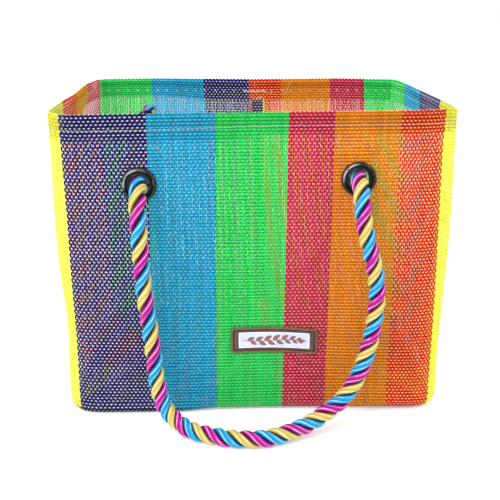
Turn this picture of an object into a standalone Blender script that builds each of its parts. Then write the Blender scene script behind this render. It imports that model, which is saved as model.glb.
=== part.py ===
"""Striped mesh bath bag: an open-topped, box-shaped tote of woven see-through mesh.

One length of cloth is wound round as the four walls and folded under as the base, its top turned in as a hem.
Two twisted ropes pass through four eyelets and are knotted inside, and a moulded label sits low on the front.
The front faces -Y, the floor is z = 0 and the origin is the middle of the foot. Lengths are in millimetres here
and are turned into metres by MM where they reach Blender.
"""
import math

import bmesh
import bpy
import numpy as np
from mathutils import Matrix, Vector

MM = 0.001

# The bag's height and the cloth's thickness. The hem and the centre-back seam allowance are doubled cloth.
RIM_HEIGHT = 234.5
CLOTH = 1.2
DOUBLED_CLOTH = 2.4
HEM_DEPTH = 21.0
SEAM_ALLOWANCE = 13.0
FOOT_ROUND = 11.0
GAP = 0.3

# The plan of the walls: one row for each corner or change of direction, going round from the front left corner.
# along: the distance round the cloth. rim_x, rim_y: its place at the rim. rise: how far the rim stands over
# RIM_HEIGHT there. foot_x, foot_y: its place at the floor.
PLAN_COLUMNS = ("name", "along", "rim_x", "rim_y", "rise", "foot_x", "foot_y")
PLAN = (
    ("front left corner", 0.0, -139.0, -84.2, -1.5, -141.5, -110.2),
    ("front navy to blue", 61.4, -77.0, -82.7, -0.8, -77.0, -108.7),
    ("front green to crimson", 161.7, 26.5, -80.2, 0.0, 23.5, -105.7),
    ("front orange to red", 243.9, 109.0, -79.2, 0.4, 106.0, -105.7),
    ("front turns back", 266.0, 130.5, -77.7, 0.5, 127.5, -106.2),
    ("front right corner", 282.2, 144.0, -70.2, 0.2, 145.0, -106.2),
    ("right bulge", 297.0, 155.5, -61.7, -1.2, 150.0, -92.7),
    ("right yellow to navy", 342.2, 152.5, -21.7, -0.8, 149.5, -47.7),
    ("right navy to blue", 403.6, 147.5, 35.3, 0.3, 150.5, 12.3),
    ("right blue to green", 451.8, 144.0, 82.3, 0.8, 149.5, 59.3),
    ("back right corner", 474.9, 138.5, 104.8, 1.3, 147.5, 81.3),
    ("back crimson to orange", 536.6, 77.0, 108.3, 1.6, 83.5, 82.8),
    ("back seam", 618.1, -3.5, 104.8, 1.0, 0.5, 81.3),
    ("back blue to green", 707.6, -94.5, 107.3, 1.5, -92.5, 82.8),
    ("back left corner", 759.7, -149.0, 103.3, 1.3, -148.0, 82.3),
    ("left crimson to orange", 792.4, -154.0, 69.3, 0.8, -150.0, 50.3),
    ("left orange to red", 841.9, -151.5, 17.3, 0.0, -151.0, 0.3),
    ("left red to yellow", 880.2, -153.5, -22.7, -0.6, -150.0, -38.7),
    ("left bulge", 925.0, -153.7, -68.7, -1.6, -150.0, -90.7),
)
CLOTH_ROUND = 940.2
SEAM_AT = 618.1
CORNER_SOFT_RIM = 13.0
CORNER_SOFT_FOOT = 26.0

# Soft hollows (depth under 0) and bellies in the walls, a row for each one.
# Columns: along, height, reach along, reach up, depth.
DENTS = (
    (917.0, 66.0, 16.0, 30.0, -2.6),
    (917.0, 148.0, 18.0, 45.0, 0.9),
    (310.0, 150.0, 16.0, 50.0, 2.2),
    (310.0, 45.0, 16.0, 30.0, -1.6),
    (840.0, 120.0, 60.0, 70.0, 4.0),
    (400.0, 115.0, 60.0, 70.0, 4.0),
    (618.0, 110.0, 70.0, 60.0, 3.0),
    (130.0, 105.0, 34.0, 40.0, 1.6),
    (22.0, 60.0, 22.0, 34.0, -1.6),
    (255.0, 90.0, 26.0, 40.0, 1.4),
)

# Mesh spacing: points round the cloth, and the heights of the rows between hem and foot.
ROUND_POINTS = 82
WALL_ROWS = (202.0, 166.0, 144.0, 121.0, 100.0, 80.0, 45.5, 22.0)
HEM_STEP = 0.6
FOOT_ROWS = 4

# Eyelets: a spool that grips the cloth between two round flanges.
# Columns: name, along and height of its centre.
EYELETS = (
    ("eyelet_front_left", 55.3, 183.3),
    ("eyelet_front_right", 214.0, 186.0),
    ("eyelet_back_right", 522.5, 185.0),
    ("eyelet_back_left", 716.5, 192.0),
)
EYELET_OUTER_R = 12.4
EYELET_HOLE_R = 7.7
EYELET_BARREL_R = 8.9
FLANGE = 1.9
EYELET_TURNS = 26
PUNCH_LENGTH = 16.0

# Ropes: three strands twisted, drawn here as one round tube on the route of its middle.
ROPE_R = 6.4
ROPE_POINTS = 62
ROPE_SIDES = 2
ROPE_FRONT_ROUTE = (
    (-83.5, -71.7, 185.6),
    (-83.2, -88.3, 183.0),
    (-82.5, -101.3, 179.4),
    (-81.7, -111.1, 169.2),
    (-80.9, -115.1, 155.0),
    (-80.3, -115.3, 134.0),
    (-79.3, -115.5, 110.0),
    (-76.5, -116.9, 84.0),
    (-73.9, -119.2, 59.0),
    (-71.5, -123.7, 37.0),
    (-64.5, -129.7, 18.5),
    (-49.5, -138.2, 8.8),
    (-29.5, -145.2, 6.9),
    (-7.5, -149.2, 6.8),
    (12.5, -147.7, 7.0),
    (32.5, -140.7, 9.0),
    (51.0, -132.7, 14.8),
    (66.5, -125.2, 23.5),
    (78.0, -119.7, 37.5),
    (85.5, -116.2, 57.0),
    (90.0, -114.2, 80.0),
    (91.7, -113.2, 104.0),
    (88.5, -113.2, 127.0),
    (83.3, -113.0, 145.0),
    (80.1, -111.7, 158.5),
    (78.8, -107.3, 172.0),
    (78.4, -97.7, 182.4),
    (78.4, -84.7, 186.4),
    (78.6, -68.2, 189.0),
)
ROPE_BACK_ROUTE = (
    (92.3, 86.3, 187.6),
    (92.5, 102.4, 186.0),
    (92.5, 115.5, 182.2),
    (92.5, 125.7, 172.0),
    (92.5, 129.9, 157.6),
    (92.3, 130.1, 134.0),
    (91.5, 129.8, 108.0),
    (88.0, 129.8, 80.0),
    (80.5, 130.3, 52.0),
    (66.0, 133.3, 27.5),
    (44.5, 138.3, 11.5),
    (18.5, 141.8, 6.9),
    (-9.5, 142.8, 6.8),
    (-37.5, 141.8, 7.0),
    (-64.5, 138.3, 13.0),
    (-85.0, 133.8, 30.5),
    (-97.5, 130.8, 55.0),
    (-103.5, 130.3, 83.0),
    (-105.3, 130.3, 112.0),
    (-104.7, 130.5, 141.0),
    (-104.1, 129.9, 164.2),
    (-103.7, 125.9, 178.4),
    (-103.5, 115.9, 188.6),
    (-103.5, 102.9, 192.4),
    (-103.1, 86.3, 194.6),
)

# Knots: each rope end is tied in an overhand knot inside the wall. Squash is its width, depth and height over
# twice its radius, with depth in line with the rope.
KNOT_R = 16.0
KNOT_SQUASH = (1.05, 0.95, 1.0)

# Label: a moulded frame with a plate let into it, lying on the front wall.
LABEL_ALONG = 154.3
LABEL_HEIGHT = 62.6
LABEL_SIZE = (67.0, 20.4, 2.2)
LABEL_CORNER = 3.0
PLATE_SIZE = (55.0, 12.8, 1.2)
PLATE_CORNER = 0.8
POCKET_DEPTH = 1.1

# The cloth lies flat around its fittings: half lengths of each patch round the cloth and up it.
PATCH_SPAN = 6.0
PATCH_FADE = 16.0
PATCHES = tuple((along, height, 16.0, 19.0) for name, along, height in EYELETS)
PATCHES += ((LABEL_ALONG, LABEL_HEIGHT, 38.0, 17.5),)

COLOURS = {
    "cloth": (0.02, 0.45, 0.75, 1.0),
    "eyelet": (0.02, 0.02, 0.02, 1.0),
    "rope": (0.75, 0.55, 0.2, 1.0),
    "label": (0.16, 0.09, 0.06, 1.0),
    "plate": (0.8, 0.8, 0.85, 1.0),
}


def column(name):
    """One column of the plan as an array."""
    return np.array([row[PLAN_COLUMNS.index(name)] for row in PLAN], dtype=float)


def plan_value(name, along):
    """A column of the plan read at any distance round the cloth, straight between its rows."""
    return np.interp(along, column("along"), column(name), period=CLOTH_ROUND)


def outline(along, drop):
    """Plan position of the wall: the rim's and the foot's outlines mixed by drop (0 at the rim, 1 at the floor).

    Each outline is softened at its corners by a weighted mean over a short window of the straight-sided plan.
    """
    window = CORNER_SOFT_RIM + (CORNER_SOFT_FOOT - CORNER_SOFT_RIM) * drop
    x = 0.0
    y = 0.0
    steps = np.linspace(-1.0, 1.0, 9)
    weights = (1.125 - np.abs(steps)) / np.sum(1.125 - np.abs(steps))
    for step, weight in zip(steps, weights):
        at = along + step * window
        x = x + weight * ((1 - drop) * plan_value("rim_x", at) + drop * plan_value("foot_x", at))
        y = y + weight * ((1 - drop) * plan_value("rim_y", at) + drop * plan_value("foot_y", at))
    return x, y


def outward(along, drop):
    """Unit vector in plan that points out of the bag, square to the outline."""
    x0, y0 = outline(along - 2.0, drop)
    x1, y1 = outline(along + 2.0, drop)
    length = np.hypot(x1 - x0, y1 - y0)
    return (y1 - y0) / length, -(x1 - x0) / length


def away_from(along, middle):
    """Signed distance round the cloth from a place on it, the short way."""
    return (along - middle + CLOTH_ROUND / 2) % CLOTH_ROUND - CLOTH_ROUND / 2


def soft_wall(along, height):
    """Outer surface of the walls before its flat patches, as an array whose last axis is x, y, z.

    The outline at that height is pushed in or out by the soft dents, and the rim's rise fades out downwards.
    """
    drop = 1.0 - height / RIM_HEIGHT
    x, y = outline(along, drop)
    nx, ny = outward(along, drop)
    push = 0.0
    for at, up, reach_along, reach_up, depth in DENTS:
        far = (away_from(along, at) / reach_along) ** 2 + ((height - up) / reach_up) ** 2
        push = push + depth * np.exp(-far)
    z = height + plan_value("rise", along) * np.clip(height / RIM_HEIGHT, 0.0, 1.0) ** 2
    return np.stack([x + push * nx, y + push * ny, z + 0.0 * x], -1)


def patch_axes(along, height):
    """Middle of a flat patch of the wall and its three axes: round the cloth, up it and out of it."""
    middle = soft_wall(along, height)
    side = soft_wall(along + PATCH_SPAN, height) - soft_wall(along - PATCH_SPAN, height)
    up = soft_wall(along, height + PATCH_SPAN) - soft_wall(along, height - PATCH_SPAN)
    side = side / np.linalg.norm(side)
    out = np.cross(side, up)
    out = out / np.linalg.norm(out)
    return middle, side, np.cross(out, side), out


def fade(distance, flat, end):
    """1 up to flat, 0 from end on, and a smooth step between them."""
    t = np.clip((end - np.abs(distance)) / (end - flat), 0.0, 1.0)
    return t * t * (3 - 2 * t)


def wall(along, height):
    """Outer surface of the walls, as an array whose last axis is x, y, z.

    Around each eyelet and under the label the soft wall is pressed into the plane of that fitting's patch.
    """
    point = soft_wall(along, height)
    for at, up, reach_along, reach_up in PATCHES:
        middle, _, _, out = patch_axes(at, up)
        hold_along = fade(away_from(along, at), reach_along, reach_along + PATCH_FADE)
        hold = hold_along * fade(height - up, reach_up, reach_up + PATCH_FADE)
        off = (point - middle) @ out
        point = point - (hold * off)[..., None] * out
    return point


def wall_frame(along, height):
    """Matrix of a fitting on the wall: local X runs round the cloth, local Y up and local Z out, in metres."""
    middle, side, up, out = patch_axes(along, height)
    turn = Matrix((side, up, out)).transposed().to_4x4()
    return Matrix.Translation(Vector(middle) * MM) @ turn


def clear_scene():
    """Remove whatever the file opened with."""
    for ob in list(bpy.data.objects):
        bpy.data.objects.remove(ob, do_unlink=True)


def collection(name):
    """A new collection in the scene."""
    made = bpy.data.collections.new(name)
    bpy.context.scene.collection.children.link(made)
    return made


def material(name, colour, roughness, metallic=0.0):
    """A plain Principled material."""
    made = bpy.data.materials.new(name)
    made.use_nodes = True
    shader = made.node_tree.nodes["Principled BSDF"]
    shader.inputs["Base Color"].default_value = colour
    shader.inputs["Roughness"].default_value = roughness
    shader.inputs["Metallic"].default_value = metallic
    return made


def add_object(name, mesh, group, surface):
    """Link a mesh as a named object with its material."""
    ob = bpy.data.objects.new(name, mesh)
    group.objects.link(ob)
    ob.data.materials.append(surface)
    return ob


def flat_normal(ring):
    """Level unit vectors that point out of a ring of points, square to the line between each one's neighbours."""
    run = np.roll(ring, -1, axis=0) - np.roll(ring, 1, axis=0)
    out = np.stack([run[:, 1], -run[:, 0], np.zeros(len(ring))], 1)
    return out / np.linalg.norm(out, axis=1)[:, None]


def body_rings():
    """The cloth's outer surface from rim to base as rings of points in millimetres, and each ring's height.

    The rings follow the wall down and then go a quarter round inwards to the flat base.
    """
    along = np.arange(ROUND_POINTS) * CLOTH_ROUND / ROUND_POINTS
    hem_foot = RIM_HEIGHT - HEM_DEPTH
    heights = [RIM_HEIGHT, RIM_HEIGHT - HEM_DEPTH / 2, hem_foot, hem_foot - HEM_STEP, *WALL_ROWS]
    rings = [wall(along, np.full(ROUND_POINTS, height)) for height in heights]
    foot = wall(along, np.full(ROUND_POINTS, FOOT_ROUND))
    out = flat_normal(foot)
    up = np.array([0.0, 0.0, 1.0])
    for step in range(FOOT_ROWS + 1):
        angle = 0.5 * math.pi * step / FOOT_ROWS
        inset = FOOT_ROUND * (1 - math.cos(angle))
        height = FOOT_ROUND * (1 - math.sin(angle))
        rings.append(foot * (1, 1, 0) - inset * out + height * up)
        heights.append(height)
    return along, heights, rings


def make_body(group, cutters, surface):
    """The bag's cloth: walls, hem and base as one sheet that Solidify thickens inwards, pierced for the eyelets.

    The sheet is twice as thick over the hem and over the seam allowance at the centre back.
    """
    along, heights, rings = body_rings()
    bm = bmesh.new()
    rows = [[bm.verts.new(Vector(point) * MM) for point in ring] for ring in rings]
    for upper, lower in zip(rows, rows[1:]):
        for i in range(ROUND_POINTS):
            j = (i + 1) % ROUND_POINTS
            bm.faces.new((lower[i], lower[j], upper[j], upper[i]))
    bm.faces.new(rows[-1][::-1])
    mesh = bpy.data.meshes.new("body_cloth")
    bm.to_mesh(mesh)
    bm.free()
    body = add_object("body_cloth", mesh, group, surface)
    layers = body.vertex_groups.new(name="layers")
    for row, height in enumerate(heights):
        for i, at in enumerate(along):
            in_seam = SEAM_AT - SEAM_ALLOWANCE <= at <= SEAM_AT and height > FOOT_ROUND
            doubled = in_seam or height >= RIM_HEIGHT - HEM_DEPTH
            layers.add([row * ROUND_POINTS + i], 1.0 if doubled else CLOTH / DOUBLED_CLOTH, "REPLACE")
    thicken = body.modifiers.new("thicken", "SOLIDIFY")
    thicken.thickness = DOUBLED_CLOTH * MM
    thicken.offset = -1.0
    thicken.vertex_group = "layers"
    for name, at, height in EYELETS:
        punch = bpy.data.meshes.new("punch_" + name)
        bm = bmesh.new()
        radius = (EYELET_BARREL_R + GAP) * MM
        bmesh.ops.create_cone(
            bm, cap_ends=True, segments=EYELET_TURNS, radius1=radius, radius2=radius, depth=PUNCH_LENGTH * MM
        )
        bm.to_mesh(punch)
        bm.free()
        cutter = bpy.data.objects.new("punch_" + name, punch)
        cutters.objects.link(cutter)
        cutter.matrix_world = wall_frame(at, height)
        cutter.hide_render = True
        cutter.display_type = "WIRE"
        cut = body.modifiers.new("hole_" + name, "BOOLEAN")
        cut.operation = "DIFFERENCE"
        cut.object = cutter
    return body


def eyelet_profile():
    """Half section of an eyelet, radius and distance along its axis, from the outer face to the inner one.

    Both flanges are rolled: a quarter round at the rim and at the hole, flat where they lie on the cloth.
    """
    front = GAP
    back = -(CLOTH + GAP)
    middle = (EYELET_OUTER_R + EYELET_HOLE_R) / 2
    return (
        (EYELET_OUTER_R, front),
        (EYELET_OUTER_R, front + 0.35 * FLANGE),
        (EYELET_OUTER_R - 0.9, front + 0.85 * FLANGE),
        (middle + 0.6, front + FLANGE),
        (middle - 0.8, front + 0.92 * FLANGE),
        (EYELET_HOLE_R + 0.5, front + 0.5 * FLANGE),
        (EYELET_HOLE_R, front - 0.2),
        (EYELET_HOLE_R, back + 0.2),
        (EYELET_HOLE_R + 0.6, back - 0.6 * FLANGE),
        (middle, back - 0.8 * FLANGE),
        (EYELET_OUTER_R - 0.8, back - 0.6 * FLANGE),
        (EYELET_OUTER_R - 0.4, back),
        (EYELET_BARREL_R, back),
        (EYELET_BARREL_R, front),
    )


def make_eyelet(name, at, height, group, surface):
    """An eyelet: its closed half section turned once round its axis with a Screw modifier."""
    profile = eyelet_profile()
    mesh = bpy.data.meshes.new(name)
    points = [(radius * MM, 0.0, axis * MM) for radius, axis in profile]
    edges = [(i, (i + 1) % len(points)) for i in range(len(points))]
    mesh.from_pydata(points, edges, [])
    ob = add_object(name, mesh, group, surface)
    ob.matrix_world = wall_frame(at, height)
    turn = ob.modifiers.new("turn", "SCREW")
    turn.axis = "Z"
    turn.steps = EYELET_TURNS
    turn.render_steps = EYELET_TURNS
    turn.use_merge_vertices = True
    turn.merge_threshold = 0.00001
    turn.use_normal_flip = True
    turn.use_smooth_shade = True
    return ob


def smooth_route(route, count):
    """Points at equal steps on a smooth curve through a route's own points (a Catmull-Rom spline by distance)."""
    knots = np.array(route)
    gaps = np.sqrt(np.linalg.norm(np.diff(knots, axis=0), axis=1))
    times = np.concatenate([[0.0], np.cumsum(gaps)])
    slopes = np.gradient(knots, times, axis=0)
    fine = np.linspace(0.0, times[-1], 1500)
    piece = np.clip(np.searchsorted(times, fine, side="right") - 1, 0, len(times) - 2)
    span = (times[piece + 1] - times[piece])[:, None]
    u = ((fine - times[piece]) / span[:, 0])[:, None]
    curve = (
        (2 * u**3 - 3 * u**2 + 1) * knots[piece]
        + (u**3 - 2 * u**2 + u) * span * slopes[piece]
        + (3 * u**2 - 2 * u**3) * knots[piece + 1]
        + (u**3 - u**2) * span * slopes[piece + 1]
    )
    run = np.concatenate([[0.0], np.cumsum(np.linalg.norm(np.diff(curve, axis=0), axis=1))])
    even = np.linspace(0.0, run[-1], count)
    return np.stack([np.interp(even, run, curve[:, axis]) for axis in range(3)], 1)


def make_rope(name, route, group, surface):
    """A rope handle as a bevelled curve with filled caps."""
    points = smooth_route(route, ROPE_POINTS)
    data = bpy.data.curves.new(name, "CURVE")
    data.dimensions = "3D"
    data.bevel_depth = ROPE_R * MM
    data.bevel_resolution = ROPE_SIDES
    data.use_fill_caps = True
    line = data.splines.new("POLY")
    line.points.add(len(points) - 1)
    line.points.foreach_set("co", np.c_[points * MM, np.ones(len(points))].ravel())
    line.use_smooth = True
    return add_object(name, data, group, surface)


def make_knot(name, end, before, group, surface):
    """The outer form of an overhand knot: a rounded lump just past a rope's end, in line with it."""
    end = Vector(end)
    heading = (end - Vector(before)).normalized()
    bm = bmesh.new()
    bmesh.ops.create_uvsphere(bm, u_segments=14, v_segments=9, radius=KNOT_R * MM)
    mesh = bpy.data.meshes.new(name)
    bmesh.ops.scale(bm, vec=KNOT_SQUASH, verts=bm.verts)
    bm.to_mesh(mesh)
    bm.free()
    mesh.shade_smooth()
    ob = add_object(name, mesh, group, surface)
    reach = KNOT_R * KNOT_SQUASH[1] + GAP
    turn = heading.to_track_quat("Y", "Z").to_matrix().to_4x4()
    ob.matrix_world = Matrix.Translation((end + heading * reach) * MM) @ turn
    return ob


def rounded_box(name, size, corner, lift, frame, group, surface):
    """A flat plate with round corners: a filled 2D curve, extruded and made a mesh, standing lift off the wall."""
    data = bpy.data.curves.new(name + "_outline", "CURVE")
    data.dimensions = "2D"
    data.fill_mode = "BOTH"
    data.extrude = size[2] / 2 * MM
    points = []
    for quarter, (side, up) in enumerate(((1, 1), (-1, 1), (-1, -1), (1, -1))):
        for step in range(5):
            angle = math.pi / 2 * (quarter + step / 4)
            x = side * (size[0] / 2 - corner) + corner * math.cos(angle)
            y = up * (size[1] / 2 - corner) + corner * math.sin(angle)
            points.append((x * MM, y * MM, 0.0, 1.0))
    line = data.splines.new("POLY")
    line.points.add(len(points) - 1)
    line.points.foreach_set("co", np.array(points).ravel())
    line.use_cyclic_u = True
    flat = bpy.data.objects.new(name + "_outline", data)
    group.objects.link(flat)
    bpy.context.view_layer.update()
    mesh = bpy.data.meshes.new_from_object(flat.evaluated_get(bpy.context.evaluated_depsgraph_get()))
    bpy.data.objects.remove(flat, do_unlink=True)
    bm = bmesh.new()
    bm.from_mesh(mesh)
    bmesh.ops.remove_doubles(bm, verts=bm.verts, dist=0.00001)
    bmesh.ops.recalc_face_normals(bm, faces=bm.faces)
    bm.to_mesh(mesh)
    bm.free()
    mesh.name = name
    ob = bpy.data.objects.new(name, mesh)
    group.objects.link(ob)
    if surface is not None:
        mesh.materials.clear()
        mesh.materials.append(surface)
    ob.matrix_world = frame @ Matrix.Translation((0.0, 0.0, (lift + size[2] / 2) * MM))
    return ob


def make_label(group, cutters, frame_surface, plate_surface):
    """The label: a moulded frame with a pocket in its face, and the plate that fills the pocket."""
    frame = wall_frame(LABEL_ALONG, LABEL_HEIGHT)
    body = rounded_box("label_frame", LABEL_SIZE, LABEL_CORNER, GAP, frame, group, frame_surface)
    floor = GAP + LABEL_SIZE[2] - POCKET_DEPTH
    pocket_size = (PLATE_SIZE[0] + 2 * GAP, PLATE_SIZE[1] + 2 * GAP, POCKET_DEPTH + 2.0)
    pocket = rounded_box("pocket", pocket_size, PLATE_CORNER + GAP, floor, frame, cutters, None)
    pocket.hide_render = True
    pocket.display_type = "WIRE"
    cut = body.modifiers.new("pocket", "BOOLEAN")
    cut.operation = "DIFFERENCE"
    cut.object = pocket
    rounded_box("label_plate", PLATE_SIZE, PLATE_CORNER, floor + GAP, frame, group, plate_surface)


def build():
    """Make every sub-part of the bag."""
    clear_scene()
    group = collection("mesh_bath_bag")
    cutters = collection("cutters")
    cloth = material("woven mesh", COLOURS["cloth"], 0.5)
    black = material("black eyelet", COLOURS["eyelet"], 0.35, 0.8)
    cord = material("satin rope", COLOURS["rope"], 0.35)
    brown = material("moulded label", COLOURS["label"], 0.6)
    white = material("label plate", COLOURS["plate"], 0.4)
    make_body(group, cutters, cloth)
    for name, at, height in EYELETS:
        make_eyelet(name, at, height, group, black)
    make_rope("rope_front", ROPE_FRONT_ROUTE, group, cord)
    make_rope("rope_back", ROPE_BACK_ROUTE, group, cord)
    make_knot("knot_front_left", ROPE_FRONT_ROUTE[0], ROPE_FRONT_ROUTE[1], group, cord)
    make_knot("knot_front_right", ROPE_FRONT_ROUTE[-1], ROPE_FRONT_ROUTE[-2], group, cord)
    make_knot("knot_back_right", ROPE_BACK_ROUTE[0], ROPE_BACK_ROUTE[1], group, cord)
    make_knot("knot_back_left", ROPE_BACK_ROUTE[-1], ROPE_BACK_ROUTE[-2], group, cord)
    make_label(group, cutters, brown, white)


build()
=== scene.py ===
# %% [markdown]
# # Striped mesh bath bag
# An open box-shaped bag woven from coloured yarn, with two twisted rope handles that run through black
# eyelets and a small brown label low on its front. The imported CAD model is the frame: every piece here is
# worked out in the same place with numpy. The cloth is woven yarn by yarn, so that light and the far wall
# show through it. Lengths are millimetres and turn into metres only where they enter a mesh.

# %% Load the frame
import math

import bmesh
import bpy
import numpy as np
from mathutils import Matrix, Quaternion, Vector


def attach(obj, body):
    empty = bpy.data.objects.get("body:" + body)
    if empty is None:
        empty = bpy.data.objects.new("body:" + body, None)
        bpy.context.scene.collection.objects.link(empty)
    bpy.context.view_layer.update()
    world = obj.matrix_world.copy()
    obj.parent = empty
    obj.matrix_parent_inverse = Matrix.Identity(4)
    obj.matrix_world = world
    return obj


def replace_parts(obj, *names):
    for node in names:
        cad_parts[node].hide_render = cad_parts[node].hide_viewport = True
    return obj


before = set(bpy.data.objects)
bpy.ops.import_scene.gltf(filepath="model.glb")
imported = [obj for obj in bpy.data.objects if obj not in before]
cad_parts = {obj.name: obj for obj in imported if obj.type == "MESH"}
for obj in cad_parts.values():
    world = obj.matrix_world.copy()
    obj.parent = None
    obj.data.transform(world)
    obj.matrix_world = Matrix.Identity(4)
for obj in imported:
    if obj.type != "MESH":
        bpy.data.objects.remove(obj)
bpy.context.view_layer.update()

MM = 0.001
rng = np.random.default_rng(11)
print("frame:", len(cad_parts), "CAD nodes")

# %% [markdown]
# ## Camera
# The bag was photographed from the front, from a little over half a metre away and looking down by 18.5
# degrees. A camera can be aimed by hand, but here its place comes from the two vanishing directions of the
# walls, and a small shift moves the picture down over the bag without tilting the camera further.

# %% Camera
CAMERA_AT = (-1.8, -578.9, 319.6)
CAMERA_DOWN = 18.5
FOCAL_PIXELS = 693.0
PHOTO_SIDE = 500.0
SHIFT_PIXELS = 30.0

camera_data = bpy.data.cameras.new("camera")
camera_data.lens = camera_data.sensor_width * FOCAL_PIXELS / PHOTO_SIDE
camera_data.shift_y = -SHIFT_PIXELS / PHOTO_SIDE
camera = bpy.data.objects.new("camera", camera_data)
bpy.context.scene.collection.objects.link(camera)
camera.location = Vector(CAMERA_AT) * MM
camera.rotation_euler = (math.radians(90.0 - CAMERA_DOWN), 0.0, 0.0)
bpy.context.scene.camera = camera
print("camera: lens", round(camera_data.lens, 1), "mm, shift", camera_data.shift_y)

# %% [markdown]
# ## Surfaces from grids of points
# Every new piece is a grid of points worked out as one array: some count of strips, each so many points long
# and so many around. The faces only depend on those counts, so one function numbers them for a rope, a yarn
# or a stitch alike. Values that belong to the points, such as a yarn's colour, go into the mesh as
# attributes.


# %% Mesh helpers
def quads(strips, long, around, close_long=False, close_around=False, flip=False):
    """Corner numbers of the faces of a stack of grids: each face joins four neighbours of one strip."""
    index = np.arange(strips * long * around).reshape(strips, long, around)
    if close_long:
        index = np.concatenate([index, index[:, :1]], 1)
    if close_around:
        index = np.concatenate([index, index[:, :, :1]], 2)
    faces = np.stack([index[:, :-1, :-1], index[:, :-1, 1:], index[:, 1:, 1:], index[:, 1:, :-1]], -1)
    faces = faces.reshape(-1, 4)
    return faces[:, ::-1] if flip else faces


def unit(vectors):
    """Vectors divided by their own length."""
    return vectors / np.linalg.norm(vectors, axis=-1, keepdims=True)


def linear(*rgb):
    """A screen colour, 0 to 255 a channel, as the linear light that shaders use."""
    share = np.array(rgb, float) / 255.0
    return np.where(share <= 0.04045, share / 12.92, ((share + 0.055) / 1.055) ** 2.4)


def rgba(*rgb):
    """A screen colour as the four linear numbers of a colour socket."""
    return (*[float(x) for x in linear(*rgb)], 1.0)


def new_piece(name, points, faces, finish, slot, uv=None, colour=None, merge=False, **vectors):
    """A mesh piece in the row frame that rides on the bag. Points nothing uses are dropped first.

    uv, colour and vectors hold one row for each point. merge joins points that lie on each other, which
    closes the poles of a swept form.
    """
    used, corners = np.unique(faces, return_inverse=True)
    corners = corners.reshape(faces.shape).astype(np.int32)
    mesh = bpy.data.meshes.new(name)
    mesh.vertices.add(len(used))
    mesh.vertices.foreach_set("co", (points[used] * MM).astype(np.float32).ravel())
    mesh.loops.add(corners.size)
    mesh.loops.foreach_set("vertex_index", corners.ravel())
    mesh.polygons.add(len(corners))
    mesh.polygons.foreach_set("loop_start", np.arange(0, corners.size, 4, dtype=np.int32))
    mesh.update(calc_edges=True)
    if uv is not None:
        layer = mesh.uv_layers.new(name="OFBake")
        layer.uv.foreach_set("vector", uv[used][corners.ravel()].astype(np.float32).ravel())
    if colour is not None:
        layer = mesh.color_attributes.new(name="tint", type="FLOAT_COLOR", domain="POINT")
        full = np.concatenate([colour[used], np.ones((len(used), 1))], 1)
        layer.data.foreach_set("color", full.astype(np.float32).ravel())
    for key, values in vectors.items():
        layer = mesh.attributes.new(name=key, type="FLOAT_VECTOR", domain="POINT")
        layer.data.foreach_set("vector", values[used].astype(np.float32).ravel())
    if merge:
        bm = bmesh.new()
        bm.from_mesh(mesh)
        bmesh.ops.remove_doubles(bm, verts=bm.verts, dist=1e-6)
        bm.to_mesh(mesh)
        bm.free()
    mesh.shade_smooth()
    mesh.materials.append(finish)
    piece = bpy.data.objects.new(name, mesh)
    bpy.context.scene.collection.objects.link(piece)
    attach(piece, "root")
    triangles = sum(len(p.vertices) - 2 for p in mesh.polygons) if merge else 2 * len(corners)
    counted.append(triangles)
    print(name, triangles, "triangles")
    return piece


counted = []
print("mesh helpers ready, one strip of 3 by 3 points has", len(quads(1, 3, 3)), "faces")

# %% [markdown]
# ## Shader maths as plain expressions
# A material is a graph of nodes, and a formula with ten steps is hard to read as a graph. Value wraps one
# socket so that ordinary Python operators add the Math nodes, and Finish is a material with one method that
# makes any other node. The formula then reads the same in the script as on paper.


# %% Shader helpers
class Value:
    """A number that changes over a surface. Arithmetic on it adds Math nodes to its material."""

    def __init__(self, finish, socket):
        self.finish = finish
        self.socket = socket

    def math(self, operation, *others):
        """One Math node fed with this value first and the others after it."""
        made = self.finish.node("ShaderNodeMath", {"operation": operation}, dict(enumerate((self, *others))))
        return Value(self.finish, made.outputs[0])

    def __add__(self, other):
        return self.math("ADD", other)

    def __sub__(self, other):
        return self.math("SUBTRACT", other)

    def __mul__(self, other):
        return self.math("MULTIPLY", other)

    def __abs__(self):
        return self.math("ABSOLUTE")

    def wave(self):
        """Its cosine, lifted to run from 0 to 1."""
        return self.math("COSINE") * 0.5 + 0.5

    def step(self, low, high):
        """0 up to low, 1 from high on and smooth between; low may lie above high."""
        made = self.finish.node(
            "ShaderNodeMapRange",
            {"interpolation_type": "SMOOTHSTEP"},
            {"Value": self, "From Min": low, "From Max": high},
        )
        return Value(self.finish, made.outputs["Result"])


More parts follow.
